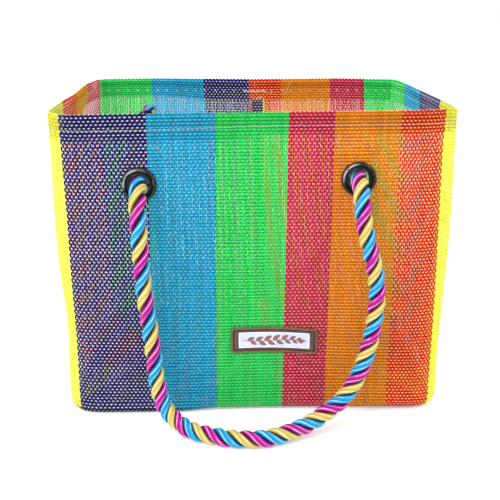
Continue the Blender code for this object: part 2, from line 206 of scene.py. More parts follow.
class Finish:
    """A material in the making. Plain numbers go straight onto its shader's sockets."""

    def __init__(self, name, plain):
        self.material = bpy.data.materials.new(name)
        self.material.use_nodes = True
        self.tree = self.material.node_tree
        self.shader = self.tree.nodes["Principled BSDF"]
        for key, value in plain.items():
            self.shader.inputs[key].default_value = value

    def node(self, kind, settings=None, values=None):
        """A node of any kind: its settings come first, then each socket's plain value or link."""
        made = self.tree.nodes.new(kind)
        for key, value in (settings or {}).items():
            setattr(made, key, value)
        for key, value in (values or {}).items():
            self.feed(made.inputs[key], value)
        return made

    def feed(self, socket, value):
        """Link a Value or a socket to a socket, or set its plain value."""
        source = value.socket if isinstance(value, Value) else value
        if isinstance(source, bpy.types.NodeSocket):
            self.tree.links.new(source, socket)
        else:
            socket.default_value = source

    def parts(self, attribute):
        """The three numbers of a vector attribute, each as a Value."""
        read = self.node("ShaderNodeAttribute", {"attribute_name": attribute})
        split = self.node("ShaderNodeSeparateXYZ", values={"Vector": read.outputs["Vector"]})
        return [Value(self, output) for output in split.outputs]

    def place(self):
        """Object coordinates, in metres."""
        return self.node("ShaderNodeTexCoord").outputs["Object"]

    def vector(self, x, y, z):
        """Three numbers joined as a vector socket."""
        return self.node("ShaderNodeCombineXYZ", values={"X": x, "Y": y, "Z": z}).outputs["Vector"]

    def noise(self, at, scale, detail=2.0):
        """Noise from about 0 to 1 at a vector socket."""
        made = self.node("ShaderNodeTexNoise", values={"Vector": at, "Scale": scale, "Detail": detail})
        return Value(self, made.outputs["Fac"])

    def tint(self):
        """The colour that each point of the mesh carries."""
        return self.node("ShaderNodeAttribute", {"attribute_name": "tint"}).outputs["Color"]

    def mix(self, share, first, second, blend="MIX"):
        """Two colours mixed: sockets 0, 6 and 7 of a colour Mix node are its factor, A and B."""
        settings = {"data_type": "RGBA", "blend_type": blend, "clamp_factor": True}
        return self.node("ShaderNodeMix", settings, {0: share, 6: first, 7: second}).outputs[2]

    def bump(self, height, distance, strength=1.0):
        """Feed a height, in shares of distance in metres, to the shader's normal."""
        values = {"Height": height, "Distance": distance, "Strength": strength}
        made = self.node("ShaderNodeBump", values=values)
        self.feed(self.shader.inputs["Normal"], made.outputs["Normal"])

    def done(self, colour, roughness):
        """Link what varies over the surface and return the material."""
        self.feed(self.shader.inputs["Base Color"], colour)
        self.feed(self.shader.inputs["Roughness"], roughness)
        return self.material


print("shader helpers ready: Value does the maths and Finish makes the other nodes")

# %% [markdown]
# ## Rope handles
# Each handle is a three-strand rope of shiny synthetic fibre, magenta, cyan and pale yellow, twisted
# right-handed. It hangs from its two eyelets and its slack lies in a bow on the floor. A strand could be an
# array on a curve, but three tubes swept along helices round the route keep their width in every bend and
# need no modifier.

# %% Rope routes
# The middle of each rope, in metres, point by point: the same routes as the CAD ropes'.
FRONT_ROUTE = (
    (-0.0835, -0.0717, 0.1856),
    (-0.0832, -0.0883, 0.1830),
    (-0.0825, -0.1013, 0.1794),
    (-0.0817, -0.1111, 0.1692),
    (-0.0809, -0.1151, 0.1550),
    (-0.0803, -0.1153, 0.1340),
    (-0.0793, -0.1155, 0.1100),
    (-0.0765, -0.1169, 0.0840),
    (-0.0739, -0.1192, 0.0590),
    (-0.0715, -0.1237, 0.0370),
    (-0.0645, -0.1297, 0.0185),
    (-0.0495, -0.1382, 0.0088),
    (-0.0295, -0.1452, 0.0069),
    (-0.0075, -0.1492, 0.0068),
    (0.0125, -0.1477, 0.0070),
    (0.0325, -0.1407, 0.0090),
    (0.0510, -0.1327, 0.0148),
    (0.0665, -0.1252, 0.0235),
    (0.0780, -0.1197, 0.0375),
    (0.0855, -0.1162, 0.0570),
    (0.0900, -0.1142, 0.0800),
    (0.0917, -0.1132, 0.1040),
    (0.0885, -0.1132, 0.1270),
    (0.0833, -0.1130, 0.1450),
    (0.0801, -0.1117, 0.1585),
    (0.0788, -0.1073, 0.1720),
    (0.0784, -0.0977, 0.1824),
    (0.0784, -0.0847, 0.1864),
    (0.0786, -0.0682, 0.1890),
)
BACK_ROUTE = (
    (0.0923, 0.0863, 0.1876),
    (0.0925, 0.1024, 0.1860),
    (0.0925, 0.1155, 0.1822),
    (0.0925, 0.1257, 0.1720),
    (0.0925, 0.1299, 0.1576),
    (0.0923, 0.1301, 0.1340),
    (0.0915, 0.1298, 0.1080),
    (0.0880, 0.1298, 0.0800),
    (0.0805, 0.1303, 0.0520),
    (0.0660, 0.1333, 0.0275),
    (0.0445, 0.1383, 0.0115),
    (0.0185, 0.1418, 0.0069),
    (-0.0095, 0.1428, 0.0068),
    (-0.0375, 0.1418, 0.0070),
    (-0.0645, 0.1383, 0.0130),
    (-0.0850, 0.1338, 0.0305),
    (-0.0975, 0.1308, 0.0550),
    (-0.1035, 0.1303, 0.0830),
    (-0.1053, 0.1303, 0.1120),
    (-0.1047, 0.1305, 0.1410),
    (-0.1041, 0.1299, 0.1642),
    (-0.1037, 0.1259, 0.1784),
    (-0.1035, 0.1159, 0.1886),
    (-0.1035, 0.1029, 0.1924),
    (-0.1031, 0.0863, 0.1946),
)
ROPE_RADIUS = 6.4
ROPE_RINGS = 300
STRAND_SIDES = 14
STRAND_LOOSE = 1.03
END_ROUNDS_OVER = 0.8
FINE_STEPS = 1500


def smooth_route(route, count):
    """Points at equal steps on a smooth curve through a route's own points, in millimetres.

    It is a Catmull-Rom spline timed by the square root of distance: a cubic between each pair of points,
    whose end slopes come from the neighbours on both sides.
    """
    marks = np.array(route) / MM
    gaps = np.sqrt(np.linalg.norm(np.diff(marks, axis=0), axis=1))
    times = np.concatenate([[0.0], np.cumsum(gaps)])
    slopes = np.gradient(marks, times, axis=0)
    fine = np.linspace(0.0, times[-1], FINE_STEPS)
    part = np.clip(np.searchsorted(times, fine, side="right") - 1, 0, len(times) - 2)
    span = (times[part + 1] - times[part])[:, None]
    u = (fine - times[part])[:, None] / span
    curve = (
        (2 * u**3 - 3 * u**2 + 1) * marks[part]
        + (u**3 - 2 * u**2 + u) * span * slopes[part]
        + (3 * u**2 - 2 * u**3) * marks[part + 1]
        + (u**3 - u**2) * span * slopes[part + 1]
    )
    return even_steps(curve, count)


def even_steps(curve, count):
    """A curve of points read again at equal distances along it."""
    run = np.concatenate([[0.0], np.cumsum(np.linalg.norm(np.diff(curve, axis=0), axis=1))])
    even = np.linspace(0.0, run[-1], count)
    return np.stack([np.interp(even, run, curve[:, axis]) for axis in range(3)], 1)


def length_of(path):
    """The length of a curve of points."""
    return float(np.linalg.norm(np.diff(path, axis=0), axis=1).sum())


front_path = smooth_route(FRONT_ROUTE, ROPE_RINGS)
back_path = smooth_route(BACK_ROUTE, ROPE_RINGS)
print("rope lengths in mm:", round(length_of(front_path), 1), round(length_of(back_path), 1))

# %% [markdown]
# ## Twisting strands round a route
# A helix needs a sideways direction that doesn't spin by itself along the route. Here it is carried along
# the route, turned at each ring only as far as the route turns, so all the twist comes from one short table.
# The front rope's table follows the order of its colours: it is twisted a little tighter towards its right
# end.


# %% Strands
def carried(path, start):
    """Tangents of a path, and two directions square to them that are carried along without spinning."""
    tangent = unit(np.gradient(path, axis=0))
    side = [unit(start - start @ tangent[0] * tangent[0])]
    for here in tangent[1:]:
        side.append(unit(side[-1] - side[-1] @ here * here))
    side = np.array(side)
    return tangent, side, np.cross(tangent, side)


def tube(path, side, across, radius, sides):
    """Rings of points round a path, and the angle of each point of a ring.

    A point is the path plus the radius times the cosine of its angle along side and the sine along across.
    """
    angle = np.arange(sides) * 2 * math.pi / sides
    round_it = np.cos(angle)[None, :, None] * side[:, None] + np.sin(angle)[None, :, None] * across[:, None]
    return path[:, None] + np.reshape(radius, (-1, 1, 1)) * round_it, angle


def strand(path, frames, turns, reach, radius, sides):
    """One strand of a rope as rings of points, and each point's lay: its place round the strand and along it.

    Its centre is the path plus reach times the cosine of side and sine of across of 2 pi times the turns. The
    tube is swept square to that helix, and its radius falls along a quarter circle to nothing at both ends.
    """
    _, side, across = frames
    run = np.linspace(0.0, length_of(path), len(path))
    angle = 2 * math.pi * turns
    outward = np.cos(angle)[:, None] * side + np.sin(angle)[:, None] * across
    centre = path + np.reshape(reach, (-1, 1)) * outward
    own_tangent = unit(np.gradient(centre, axis=0))
    own_side = unit(outward - np.sum(outward * own_tangent, 1)[:, None] * own_tangent)
    to_end = np.clip(np.minimum(run, run[-1] - run) / (END_ROUNDS_OVER * np.max(radius)), 0, 1)
    size = radius * np.sqrt(1 - (1 - to_end) ** 2)
    rings, turn = tube(centre, own_side, np.cross(own_tangent, own_side), size, sides)
    lay = np.stack(np.broadcast_arrays(np.cos(turn)[None], np.sin(turn)[None], run[:, None]), -1)
    return rings, lay, outward


def twisted(name, path, start, turns, colours, radius, sides, finish):
    """A three-strand rope as one piece: three strands a third of a turn apart, each with its own colour.

    radius is the whole rope's. Three equal circles that touch inside a circle have 1 / (1 + 2 / root 3) of
    its radius. Also returns the first strand's direction from the middle at both ends.
    """
    share = 1 / (1 + 2 / math.sqrt(3))
    frames = carried(path, start)
    rings, lays, tints = [], [], []
    for number, colour in enumerate(colours):
        ring, lay, outward = strand(
            path, frames, turns + number / 3, radius * (1 - share) * STRAND_LOOSE, radius * share, sides
        )
        rings.append(ring)
        lays.append(lay)
        tints.append(np.broadcast_to(colour, ring.shape))
        if number == 0:
            ends = outward[0], outward[-1]
    faces = quads(3, len(path), sides, close_around=True)
    points, tint, lay = [np.concatenate(parts).reshape(-1, 3) for parts in (rings, tints, lays)]
    return new_piece(name, points, faces, finish, "rope", colour=tint, merge=True, lay=lay), ends


print("a strand's radius is", round(1 / (1 + 2 / math.sqrt(3)), 3), "of its rope's")

# %% [markdown]
# ## Rope fibre
# Up close a strand is a bundle of plies with glossy straight fibres. Their light and shade are painted into
# the colour: a painted highlight along the ply ridges, and painted shade in the valley between them and where
# a strand meets its neighbours. The pattern is drawn in the strand's own angle and length, so it follows
# every twist.


# %% Rope finish
MAGENTA = linear(184, 0, 152)
CYAN = linear(0, 158, 210)
CREAM = linear(206, 188, 98)
STRAND_COLOURS = (MAGENTA, CREAM, CYAN)


def rope_finish():
    """Satin fibre with painted light: a narrow painted highlight and a broad fainter one on each strand, and
    painted shade between them and towards its sides.
    """
    sheen = {"Specular IOR Level": 0.16, "Sheen Weight": 0.05, "Sheen Roughness": 0.4}
    make = Finish("satin rope fibre", sheen)
    across, up, along = make.parts("lay")
    angle = up.math("ARCTAN2", across)
    fibres = make.noise(make.vector(across * 14.0, up * 14.0, along * 0.3), 1.0, 3.0)
    patches = make.noise(make.vector(across * 1.4, up * 1.4, along * 0.12), 1.0)
    bend = angle + (patches - 0.5) * 0.5
    deep = make.mix(1.0, make.tint(), make.tint(), "MULTIPLY")
    # Painted highlights: the strand's colour mixed towards white, in a narrow bright line on one ply ridge
    # and a broad faint one on the other.
    light = make.mix(0.5, make.tint(), rgba(255, 255, 255))
    shine = abs(bend - 0.6).step(0.22, 0.03)
    faint = abs(bend + 0.7).step(0.3, 0.05)
    # Painted shade in the valley between the two ply ridges.
    valley = abs(bend - 0.05).step(0.5, 0.05)
    colour = make.mix(fibres.step(0.55, 0.3) * 0.3, make.tint(), deep)
    colour = make.mix(valley * 0.45, colour, deep)
    colour = make.mix(faint * fibres.step(0.25, 0.55) * patches.step(0.35, 0.6) * 0.65, colour, light)
    colour = make.mix(shine * fibres.step(0.2, 0.5) * 0.95, colour, light)
    # Painted shade on the strand's inner side, where it meets its neighbours.
    groove = across.step(0.5, 0.05)
    dark = make.mix(1.0, deep, rgba(120, 104, 128), "MULTIPLY")
    colour = make.mix(groove * 0.95, colour, dark)
    make.bump((bend * 4.0 + math.pi).wave() * 0.75 + fibres * 0.25, 0.001, 0.9)
    return make.done(colour, fibres * 0.2 + 0.24)


print("rope fibre in", len(STRAND_COLOURS), "colours")

# %% [markdown]
# ## The two handles
# The front handle follows the photo's rope: it is loose at its left eyelet and tightest where it turns onto
# the floor. A short table gives the lead of its twist in five stretches, and each runs softly into the next.
# The back handle hides behind the bag, so its twist is simply even.

# %% Front and back handles
# Turns of the front rope's magenta strand at the rope's start, and the lead of its twist in five stretches.
# Columns: distance along the rope where the stretch ends, lead.
FRONT_STARTS = -1.09
FRONT_LEADS = (
    (33.0, 44.0),
    (180.0, 36.9),
    (230.0, 25.6),
    (330.0, 31.2),
    (547.0, 31.8),
)
TWIST_SOFT = 16.0
TWIST_SAMPLES = 9
BACK_LEAD = 33.0
UP = np.array((0.0, 0.0, 1.0))

run = np.linspace(0.0, length_of(front_path), ROPE_RINGS)
window = np.linspace(-TWIST_SOFT, TWIST_SOFT, TWIST_SAMPLES)
marks, leads = np.array(((0.0, 0.0), *FRONT_LEADS)).T
turned = FRONT_STARTS + np.concatenate([[0.0], np.cumsum(np.diff(marks) / leads[1:])])
ahead = np.concatenate([[2 * turned[0] - turned[1]], turned, [2 * turned[-1] - turned[-2]]])
at = np.concatenate([[-marks[1]], marks, [2 * marks[-1] - marks[-2]]])
front_turns = np.interp(run[:, None] + window, at, ahead).mean(1)
back_turns = np.linspace(0.0, length_of(back_path), ROPE_RINGS) / BACK_LEAD
rope_fibre = rope_finish()
rope_front, front_ends = twisted(
    "rope_front_strands", front_path, UP, front_turns, STRAND_COLOURS, ROPE_RADIUS, STRAND_SIDES, rope_fibre
)
rope_back, back_ends = twisted(
    "rope_back_strands", back_path, UP, back_turns, STRAND_COLOURS, ROPE_RADIUS, STRAND_SIDES, rope_fibre
)
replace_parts(rope_front, "rope_front")
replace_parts(rope_back, "rope_back")

# %% [markdown]
# ## Knots
# Inside the wall each rope end is tied in an overhand knot that can't slip back through its eyelet. A tight
# overhand knot is a coil of one turn and a third that passes through itself, so its middle line is a formula
# in polar form: an angle, a radius and a place along the rope. It starts in line with the rope, and the cut
# tail comes out at the far side.

# %% Knot line
# Steps along the knot's middle line, counted from its middle, with shorter ones where it runs in and out.
KNOT_STEPS = np.concatenate([(-9.0, -8.3, -7.75), np.arange(-6.75, 8.3), (9.25, 9.8)])
KNOT_TURN = 38.2
KNOT_SLOWS = 0.087
KNOT_WIDE = 1.99
KNOT_DIP = 0.49
KNOT_DIP_REACH = 1.15
KNOT_ROUND_TO = 4.66
KNOT_CLOSES_OVER = 3.02
KNOT_SWING = 0.0181
KNOT_CROSSES = 6.38
KNOT_RUN_OUT = 0.93
KNOT_UNIT = 6.0
KNOT_REACH = 15.5
KNOT_RADIUS = 5.5
KNOT_LEAD = 29.0
KNOT_THINS_OVER = 12.0
KNOT_RISES_OVER = 3
KNOT_RINGS = 90
KNOT_SIDES = 12
# Where a tail turns up and over, these points take the place of the line's last three.
KNOT_TAIL_UP = (
    (-0.5, 2.2, 0.3),
    (-1.1, 2.4, 1.7),
    (-1.35, 2.7, 3.0),
    (-1.4, 3.6, 3.45),
    (-1.4, 4.5, 2.7),
)


def knot_line(step):
    """Middle line of an overhand knot, in shares of KNOT_UNIT: across, along the rope, and up.

    It winds round the rope's own line by KNOT_TURN degrees a step, less towards its ends. Its radius is
    KNOT_WIDE, dips in the middle along a bell curve, and falls along a parabola to nothing at both ends.
    Along the rope it swings there and back on a cubic, so that it passes through its own loop, and then runs
    straight out.
    """
    away = np.abs(step)
    close = np.clip((away - KNOT_ROUND_TO) / KNOT_CLOSES_OVER, 0.0, 1.0)
    radius = KNOT_WIDE * (1 - close**2) - KNOT_DIP * np.exp(-((step / KNOT_DIP_REACH) ** 2))
    turn = np.radians(90.0 + KNOT_TURN * step - KNOT_SLOWS * step**3)
    swing = KNOT_SWING * step * (step**2 - KNOT_CROSSES**2)
    straight = np.sign(step) * KNOT_RUN_OUT * (away - KNOT_CROSSES)
    along = np.where(away < KNOT_CROSSES, swing, straight)
    return np.stack([radius * np.cos(turn), along, radius * np.sin(turn)], 1)


print("knot line:", len(KNOT_STEPS), "points, with a tail up", len(KNOT_STEPS) - 3 + len(KNOT_TAIL_UP))

# %% Knots
# Columns: knot, at its rope's start, rise of the knot, tail up.
KNOTS = (
    ("front_left", True, 2.0, False),
    ("front_right", False, 3.0, False),
    ("back_right", True, 0.0, False),
    ("back_left", False, -4.5, True),
)
ROPE_ENDS = {
    "front_left": (front_path[0], front_path[0] - front_path[1], front_ends[0]),
    "front_right": (front_path[-1], front_path[-1] - front_path[-2], front_ends[1]),
    "back_right": (back_path[0], back_path[0] - back_path[1], back_ends[0]),
    "back_left": (back_path[-1], back_path[-1] - back_path[-2], back_ends[1]),
}


def knot(name, first, rise, tail_up):
    """An overhand knot that carries on from a rope's end, with its strands in line with the rope's.

    A twist looks the same both ways along a rope, but the order of its colours is reversed at the start.
    """
    end, heading, start = ROPE_ENDS[name]
    heading = unit(heading)
    flat = unit(np.cross(heading, UP))
    marks = knot_line(KNOT_STEPS)
    if tail_up:
        marks = np.concatenate([marks[:-3], KNOT_TAIL_UP])
    line = marks @ np.stack([flat, heading, np.cross(flat, heading)]) * KNOT_UNIT
    line = line + np.clip(np.arange(len(line)) / KNOT_RISES_OVER, 0, 1)[:, None] * rise * UP
    line = smooth_route(line * MM, KNOT_RINGS) + end + heading * KNOT_REACH
    run = np.linspace(0.0, length_of(line), KNOT_RINGS)
    radius = KNOT_RADIUS + (ROPE_RADIUS - KNOT_RADIUS) * np.clip(1 - run / KNOT_THINS_OVER, 0, 1)
    colours = (MAGENTA, CYAN, CREAM) if first else STRAND_COLOURS
    turns = run / KNOT_LEAD
    piece, _ = twisted("tied_knot_" + name, line, start, turns, colours, radius, KNOT_SIDES, rope_fibre)
    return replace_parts(piece, "knot_" + name)


knots = [knot(*row) for row in KNOTS]

# %% [markdown]
# ## What the ropes are
# A rope can be laid another way than it hangs here. Below, each one is only paired with its route and the
# knots that belong to it.

for rope, path, tied in ((rope_front, front_path, knots[:2]), (rope_back, back_path, knots[2:])):
    path[0] * MM
    path * MM
print("cords declared: 2, each with", len(knots) // 2, "knots")

# %% [markdown]
# ## The cloth's shape
# One length of mesh goes round the whole bag and is closed by a seam at the back. The numbers are close to
# those of the CAD walls: a plan for the rim and the foot, soft dents, and flat patches under the eyelets and
# the label. One more soft bulge fills the left wall. The cloth is worked out once as a dense grid, and each
# yarn then looks up its own points in it.

# %% Cloth shape
RIM_HEIGHT = 234.5
CLOTH_ROUND = 940.2
CORNER_SOFT_RIM = 13.0
CORNER_SOFT_FOOT = 26.0
CORNER_SAMPLES = 9
OUTLINE_STEP = 2.0
# Columns: distance round the cloth, rim x and y, rise of the rim, foot x and y.
PLAN = (
    (0.0, -139.0, -84.2, -1.0, -141.5, -110.2),
    (61.4, -77.0, -82.7, -0.1, -77.0, -108.7),
    (161.7, 26.5, -80.2, 0.9, 23.5, -105.7),
    (243.9, 109.0, -79.2, 1.7, 106.0, -105.7),
    (266.0, 130.5, -77.7, 1.8, 127.5, -106.2),
    (282.2, 144.0, -70.2, 1.4, 145.0, -106.2),
    (297.0, 155.5, -61.7, -0.1, 150.0, -92.7),
    (342.2, 152.5, -21.7, 0.5, 149.5, -47.7),
    (403.6, 147.5, 35.3, 0.9, 150.5, 12.3),
    (451.8, 144.0, 82.3, 1.3, 149.5, 59.3),
    (474.9, 138.5, 104.8, 1.7, 147.5, 81.3),
    (536.6, 77.0, 108.3, 2.2, 83.5, 82.8),
    (618.1, -3.5, 104.8, 1.8, 0.5, 81.3),
    (707.6, -94.5, 107.3, 2.4, -92.5, 82.8),
    (759.7, -149.0, 103.3, 2.1, -148.0, 82.3),
    (792.4, -154.0, 69.3, 1.4, -150.0, 50.3),
    (841.9, -151.5, 17.3, 0.5, -151.0, 0.3),
    (880.2, -153.5, -22.7, -0.2, -150.0, -38.7),
    (925.0, -153.7, -68.7, -1.2, -150.0, -90.7),
)
# Columns: along, height, reach along, reach up, depth.
DENTS = (
    (917.0, 66.0, 16.0, 30.0, -2.6),
    (917.0, 148.0, 18.0, 45.0, 0.9),
    (310.0, 150.0, 16.0, 50.0, 2.2),
    (310.0, 45.0, 16.0, 30.0, -1.6),
    (840.0, 120.0, 60.0, 70.0, 4.0),
    (800.0, 178.0, 40.0, 36.0, 6.0),
    (400.0, 115.0, 60.0, 70.0, 4.0),
    (618.0, 110.0, 70.0, 60.0, 3.0),
    (130.0, 105.0, 34.0, 40.0, 1.6),
    (22.0, 60.0, 22.0, 34.0, -1.6),
    (255.0, 90.0, 26.0, 40.0, 1.4),
)
# Columns: name, along, height.
EYELETS = (
    ("front_left", 55.3, 182.9),
    ("front_right", 214.0, 185.3),
    ("back_right", 522.5, 184.5),
    ("back_left", 716.5, 191.4),
)
LABEL_ALONG = 154.3
LABEL_HEIGHT = 62.6
# Columns: along, height, half width, half height of each flat patch.
PATCHES = (
    *((along, height, 16.0, 19.0) for _, along, height in EYELETS),
    (LABEL_ALONG, LABEL_HEIGHT, 38.0, 17.5),
)
PATCH_SPAN = 6.0
PATCH_FADE = 16.0


def plan_value(column, along):
    """A column of the plan read at any distance round the cloth, straight between its rows."""
    rows = np.array(PLAN)
    return np.interp(along, rows[:, 0], rows[:, column], period=CLOTH_ROUND)


def outline(along, drop):
    """Plan position of the wall: the rim's and the foot's outlines mixed by drop, with softened corners.

    The softening is a mean over a short window, and its weights fall evenly from the middle to both ends.
    """
    window = CORNER_SOFT_RIM + (CORNER_SOFT_FOOT - CORNER_SOFT_RIM) * drop
    steps = np.linspace(-1.0, 1.0, CORNER_SAMPLES)
    weights = CORNER_SAMPLES / (CORNER_SAMPLES - 1) - np.abs(steps)
    weights = weights / np.sum(weights)
    x = 0.0
    y = 0.0
    for step, weight in zip(steps, weights):
        at = along + step * window
        x = x + weight * ((1 - drop) * plan_value(1, at) + drop * plan_value(4, at))
        y = y + weight * ((1 - drop) * plan_value(2, at) + drop * plan_value(5, at))
    return x, y


def outward(along, drop):
    """Unit vector in plan, with z as 0, that points out of the bag square to the outline."""
    x0, y0 = outline(along - OUTLINE_STEP, drop)
    x1, y1 = outline(along + OUTLINE_STEP, drop)
    return unit(np.stack([y1 - y0, x0 - x1, 0.0 * (x1 + y1)], -1))


def away_from(along, middle):
    """Signed distance round the cloth from a place on it, the short way."""
    return (along - middle + CLOTH_ROUND / 2) % CLOTH_ROUND - CLOTH_ROUND / 2


def soft_wall(along, height):
    """Outer surface of the walls before the flat patches: the outline at that height, dented in and out."""
    drop = 1.0 - height / RIM_HEIGHT
    x, y = outline(along, drop)
    push = 0.0
    for at, up, reach_along, reach_up, depth in DENTS:
        far = (away_from(along, at) / reach_along) ** 2
        push = push + depth * np.exp(-far - ((height - up) / reach_up) ** 2)
    z = height + plan_value(3, along) * np.clip(height / RIM_HEIGHT, 0.0, 1.0) ** 2
    return np.stack([x, y, z + 0.0 * x], -1) + np.asarray(push)[..., None] * outward(along, drop)


def patch_axes(along, height):
    """Middle of a flat patch of the wall and its three axes: round the cloth, up it and out of it."""
    middle = soft_wall(along, height)
    side = unit(soft_wall(along + PATCH_SPAN, height) - soft_wall(along - PATCH_SPAN, height))
    up = soft_wall(along, height + PATCH_SPAN) - soft_wall(along, height - PATCH_SPAN)
    out = unit(np.cross(side, up))
    return middle, side, np.cross(out, side), out


def fade(distance, flat, end):
    """1 up to flat, 0 from end on, and a smooth step between them."""
    t = np.clip((end - np.abs(distance)) / (end - flat), 0.0, 1.0)
    return t * t * (3 - 2 * t)


def wall(along, height):
    """Outer surface of the walls, pressed into a plane around each eyelet and under the label."""
    point = soft_wall(along, height)
    for at, up, reach_along, reach_up in PATCHES:
        middle, _, _, out = patch_axes(at, up)
        hold = fade(away_from(along, at), reach_along, reach_along + PATCH_FADE)
        hold = hold * fade(height - up, reach_up, reach_up + PATCH_FADE)
        point = point - (hold * ((point - middle) @ out))[..., None] * out
    return point


print("plan:", len(PLAN), "rows,", len(DENTS), "dents and", len(PATCHES), "flat patches")

# %% [markdown]
# ## One grid for the whole cloth
# Going down a warp thread, the cloth starts at the hem's inner edge, climbs to the rim, turns over and runs
# down the outside to the foot, where it curves under the bag. The grid holds a point and an outward direction
# for each step on that way. Bilinear lookup between four grid points is quick even for half a million of
# them.

# %% Cloth grid
HALF_CLOTH = 0.6
HEM_DEEP = 20.0
FOLD_TOP = RIM_HEIGHT - 2 * HALF_CLOTH
FOOT_ROUND = 11.0
HEM_TOP = -math.pi * HALF_CLOTH
FOOT_STARTS = FOLD_TOP - FOOT_ROUND
FOOT_REACH = FOOT_ROUND - HALF_CLOTH
CLOTH_ENDS = FOOT_STARTS + FOOT_REACH * math.pi / 2
FOOT_SHARP = 0.7
SHARP_AT = 38.0
SHARP_FLAT = 38.0
SHARP_END = 75.0
GRID_COLUMNS = 940
HEM_STEPS, TURN_STEPS, FACE_STEPS, UNDER_STEPS = 12, 7, 112, 9


def folded_sharp(along):
    """1 along the left part of the front's foot, where the cloth is folded under sharply, 0 elsewhere."""
    return fade(away_from(along, SHARP_AT), SHARP_FLAT, SHARP_END)


def cloth_grid():
    """Stations down the cloth, and for each the points of its middle surface and their outward directions.

    The hem turns over on a half circle. The foot goes straight down, round a quarter circle and straight
    inwards, and the sharper its fold, the smaller that circle.
    """
    along = np.arange(GRID_COLUMNS) * CLOTH_ROUND / GRID_COLUMNS
    hem = np.linspace(HEM_TOP - HEM_DEEP, HEM_TOP, HEM_STEPS)[:-1]
    turn = np.linspace(HEM_TOP, 0.0, TURN_STEPS)[:-1]
    face = np.linspace(0.0, FOOT_STARTS, FACE_STEPS)
    under = np.linspace(FOOT_STARTS, CLOTH_ENDS, UNDER_STEPS)[1:]
    stations = np.concatenate([hem, turn, face, under])
    down = stations[:, None]
    face_height = np.clip(FOLD_TOP - down, FOOT_ROUND, FOLD_TOP)
    height = np.where(down < HEM_TOP, FOLD_TOP + down - HEM_TOP, face_height)
    skin = wall(along[None, :], height)
    out = outward(along[None, :], 1.0 - height / RIM_HEIGHT)
    rise = wall(along[None, :], height + 1.0) - wall(along[None, :], height - 1.0)
    face_out = unit(np.cross(np.roll(skin, -1, 1) - np.roll(skin, 1, 1), rise))
    fold = np.clip(down / HEM_TOP, 0.0, 1.0)[..., None] * math.pi
    radius = (FOOT_REACH * (1 - FOOT_SHARP * folded_sharp(along)))[None, :, None]
    straight = FOOT_REACH - radius
    arc = radius * math.pi / 2
    under = np.clip(down - FOOT_STARTS, 0.0, None)[..., None]
    under = under * (2 * straight + arc) / (CLOTH_ENDS - FOOT_STARTS)
    under_turn = np.clip(under - straight, 0.0, arc) / radius
    inset = HALF_CLOTH + HALF_CLOTH * (1 - np.cos(fold)) + radius * (1 - np.cos(under_turn))
    inset = inset + np.clip(under - straight - arc, 0.0, None)
    lift = HALF_CLOTH * np.sin(fold) - radius * np.sin(under_turn) - np.minimum(under, straight)
    point = skin - inset * out + lift * UP
    normal = np.where(fold > 0, np.cos(fold) * out + np.sin(fold) * UP, face_out)
    normal = np.where(under_turn > 0, np.cos(under_turn) * out - np.sin(under_turn) * UP, normal)
    return stations, point, normal


STATIONS, CLOTH_POINTS, CLOTH_OUT = cloth_grid()


def on_cloth(along, down, lift=0.0):
    """Points lift over the cloth's middle surface, read between the four nearest points of the grid."""
    column = np.mod(along, CLOTH_ROUND) / CLOTH_ROUND * GRID_COLUMNS
    row = np.interp(down, STATIONS, np.arange(len(STATIONS)))
    left = np.floor(column).astype(int)
    top = np.minimum(np.floor(row).astype(int), len(STATIONS) - 2)
    across, below = (column - left)[..., None], (row - top)[..., None]
    left, right = left % GRID_COLUMNS, (left + 1) % GRID_COLUMNS

    def read(grid):
        high = grid[top, left] * (1 - across) + grid[top, right] * across
        low = grid[top + 1, left] * (1 - across) + grid[top + 1, right] * across
        return high * (1 - below) + low * below

    return read(CLOTH_POINTS) + np.asarray(lift)[..., None] * read(CLOTH_OUT)


print("cloth grid:", len(STATIONS), "by", GRID_COLUMNS, "points")
print("length of a warp from hem to base:", round(CLOTH_ENDS - STATIONS[0], 1), "mm")

# %% [markdown]
# ## Stripes and yarn
# The warps are dyed in broad stripes of seven colours, in the same order again and again, and the pale wefts
# are painted with a tinge of them, the colour that light from the warps casts on them. The stripes could be a
# picture or a colour ramp on one material. Here each yarn carries its colour as an attribute, so a stripe
# ends cleanly between two warps, and a little chance from yarn to yarn is easy to add. One finish adds the
# fibres and paints their highlights and shade.

# %% Stripes
SEAM_AT = 616.5
SEAM_ALLOWANCE = 14.0
TONE_CHANCE = (0.9, 1.08)
# Each stripe's warp colour, and the pale wefts' colour between its warps, painted with the tinge that light
# from those warps casts on them.
STRIPE_COLOURS = {
    "navy": ((26, 22, 112), (228, 226, 182)),
    "blue": ((0, 150, 198), (132, 208, 186)),
    "green": ((10, 197, 88), (140, 224, 116)),
    "crimson": ((184, 20, 76), (234, 174, 128)),
    "orange": ((210, 116, 8), (240, 190, 84)),
    "red": ((212, 38, 16), (246, 216, 118)),
    "yellow": ((236, 230, 62), (246, 242, 124)),
}
# Columns: colour, and the distance round the cloth where its stripe ends.
STRIPES = (
    ("navy", 61.2),
    ("blue", 109.2),
    ("green", 162.0),
    ("crimson", 194.5),
    ("orange", 242.8),
    ("red", 282.2),
    ("yellow", 341.2),
    ("navy", 396.0),
    ("blue", 444.0),
    ("green", 503.3),
    ("crimson", 536.6),
    ("orange", 585.2),
    ("red", 616.5),
    ("navy", 659.8),
    ("blue", 710.0),
    ("green", 761.0),
    ("crimson", 792.4),
    ("orange", 841.9),
    ("red", 880.2),
    ("yellow", 940.2),
)


def stripe_tints(along):
    """The linear colours of warp and weft at each distance round the cloth, with a little chance in each."""
    ends = np.array([end for _, end in STRIPES])
    palette = np.array([[linear(*rgb) for rgb in STRIPE_COLOURS[name]] for name, _ in STRIPES])
    found = palette[np.searchsorted(ends, np.mod(along, CLOTH_ROUND), side="right")]
    return found * rng.uniform(*TONE_CHANCE, (len(along), 1, 1))


print("stripes round the bag:", len(STRIPES), "in", len(STRIPE_COLOURS), "colours")


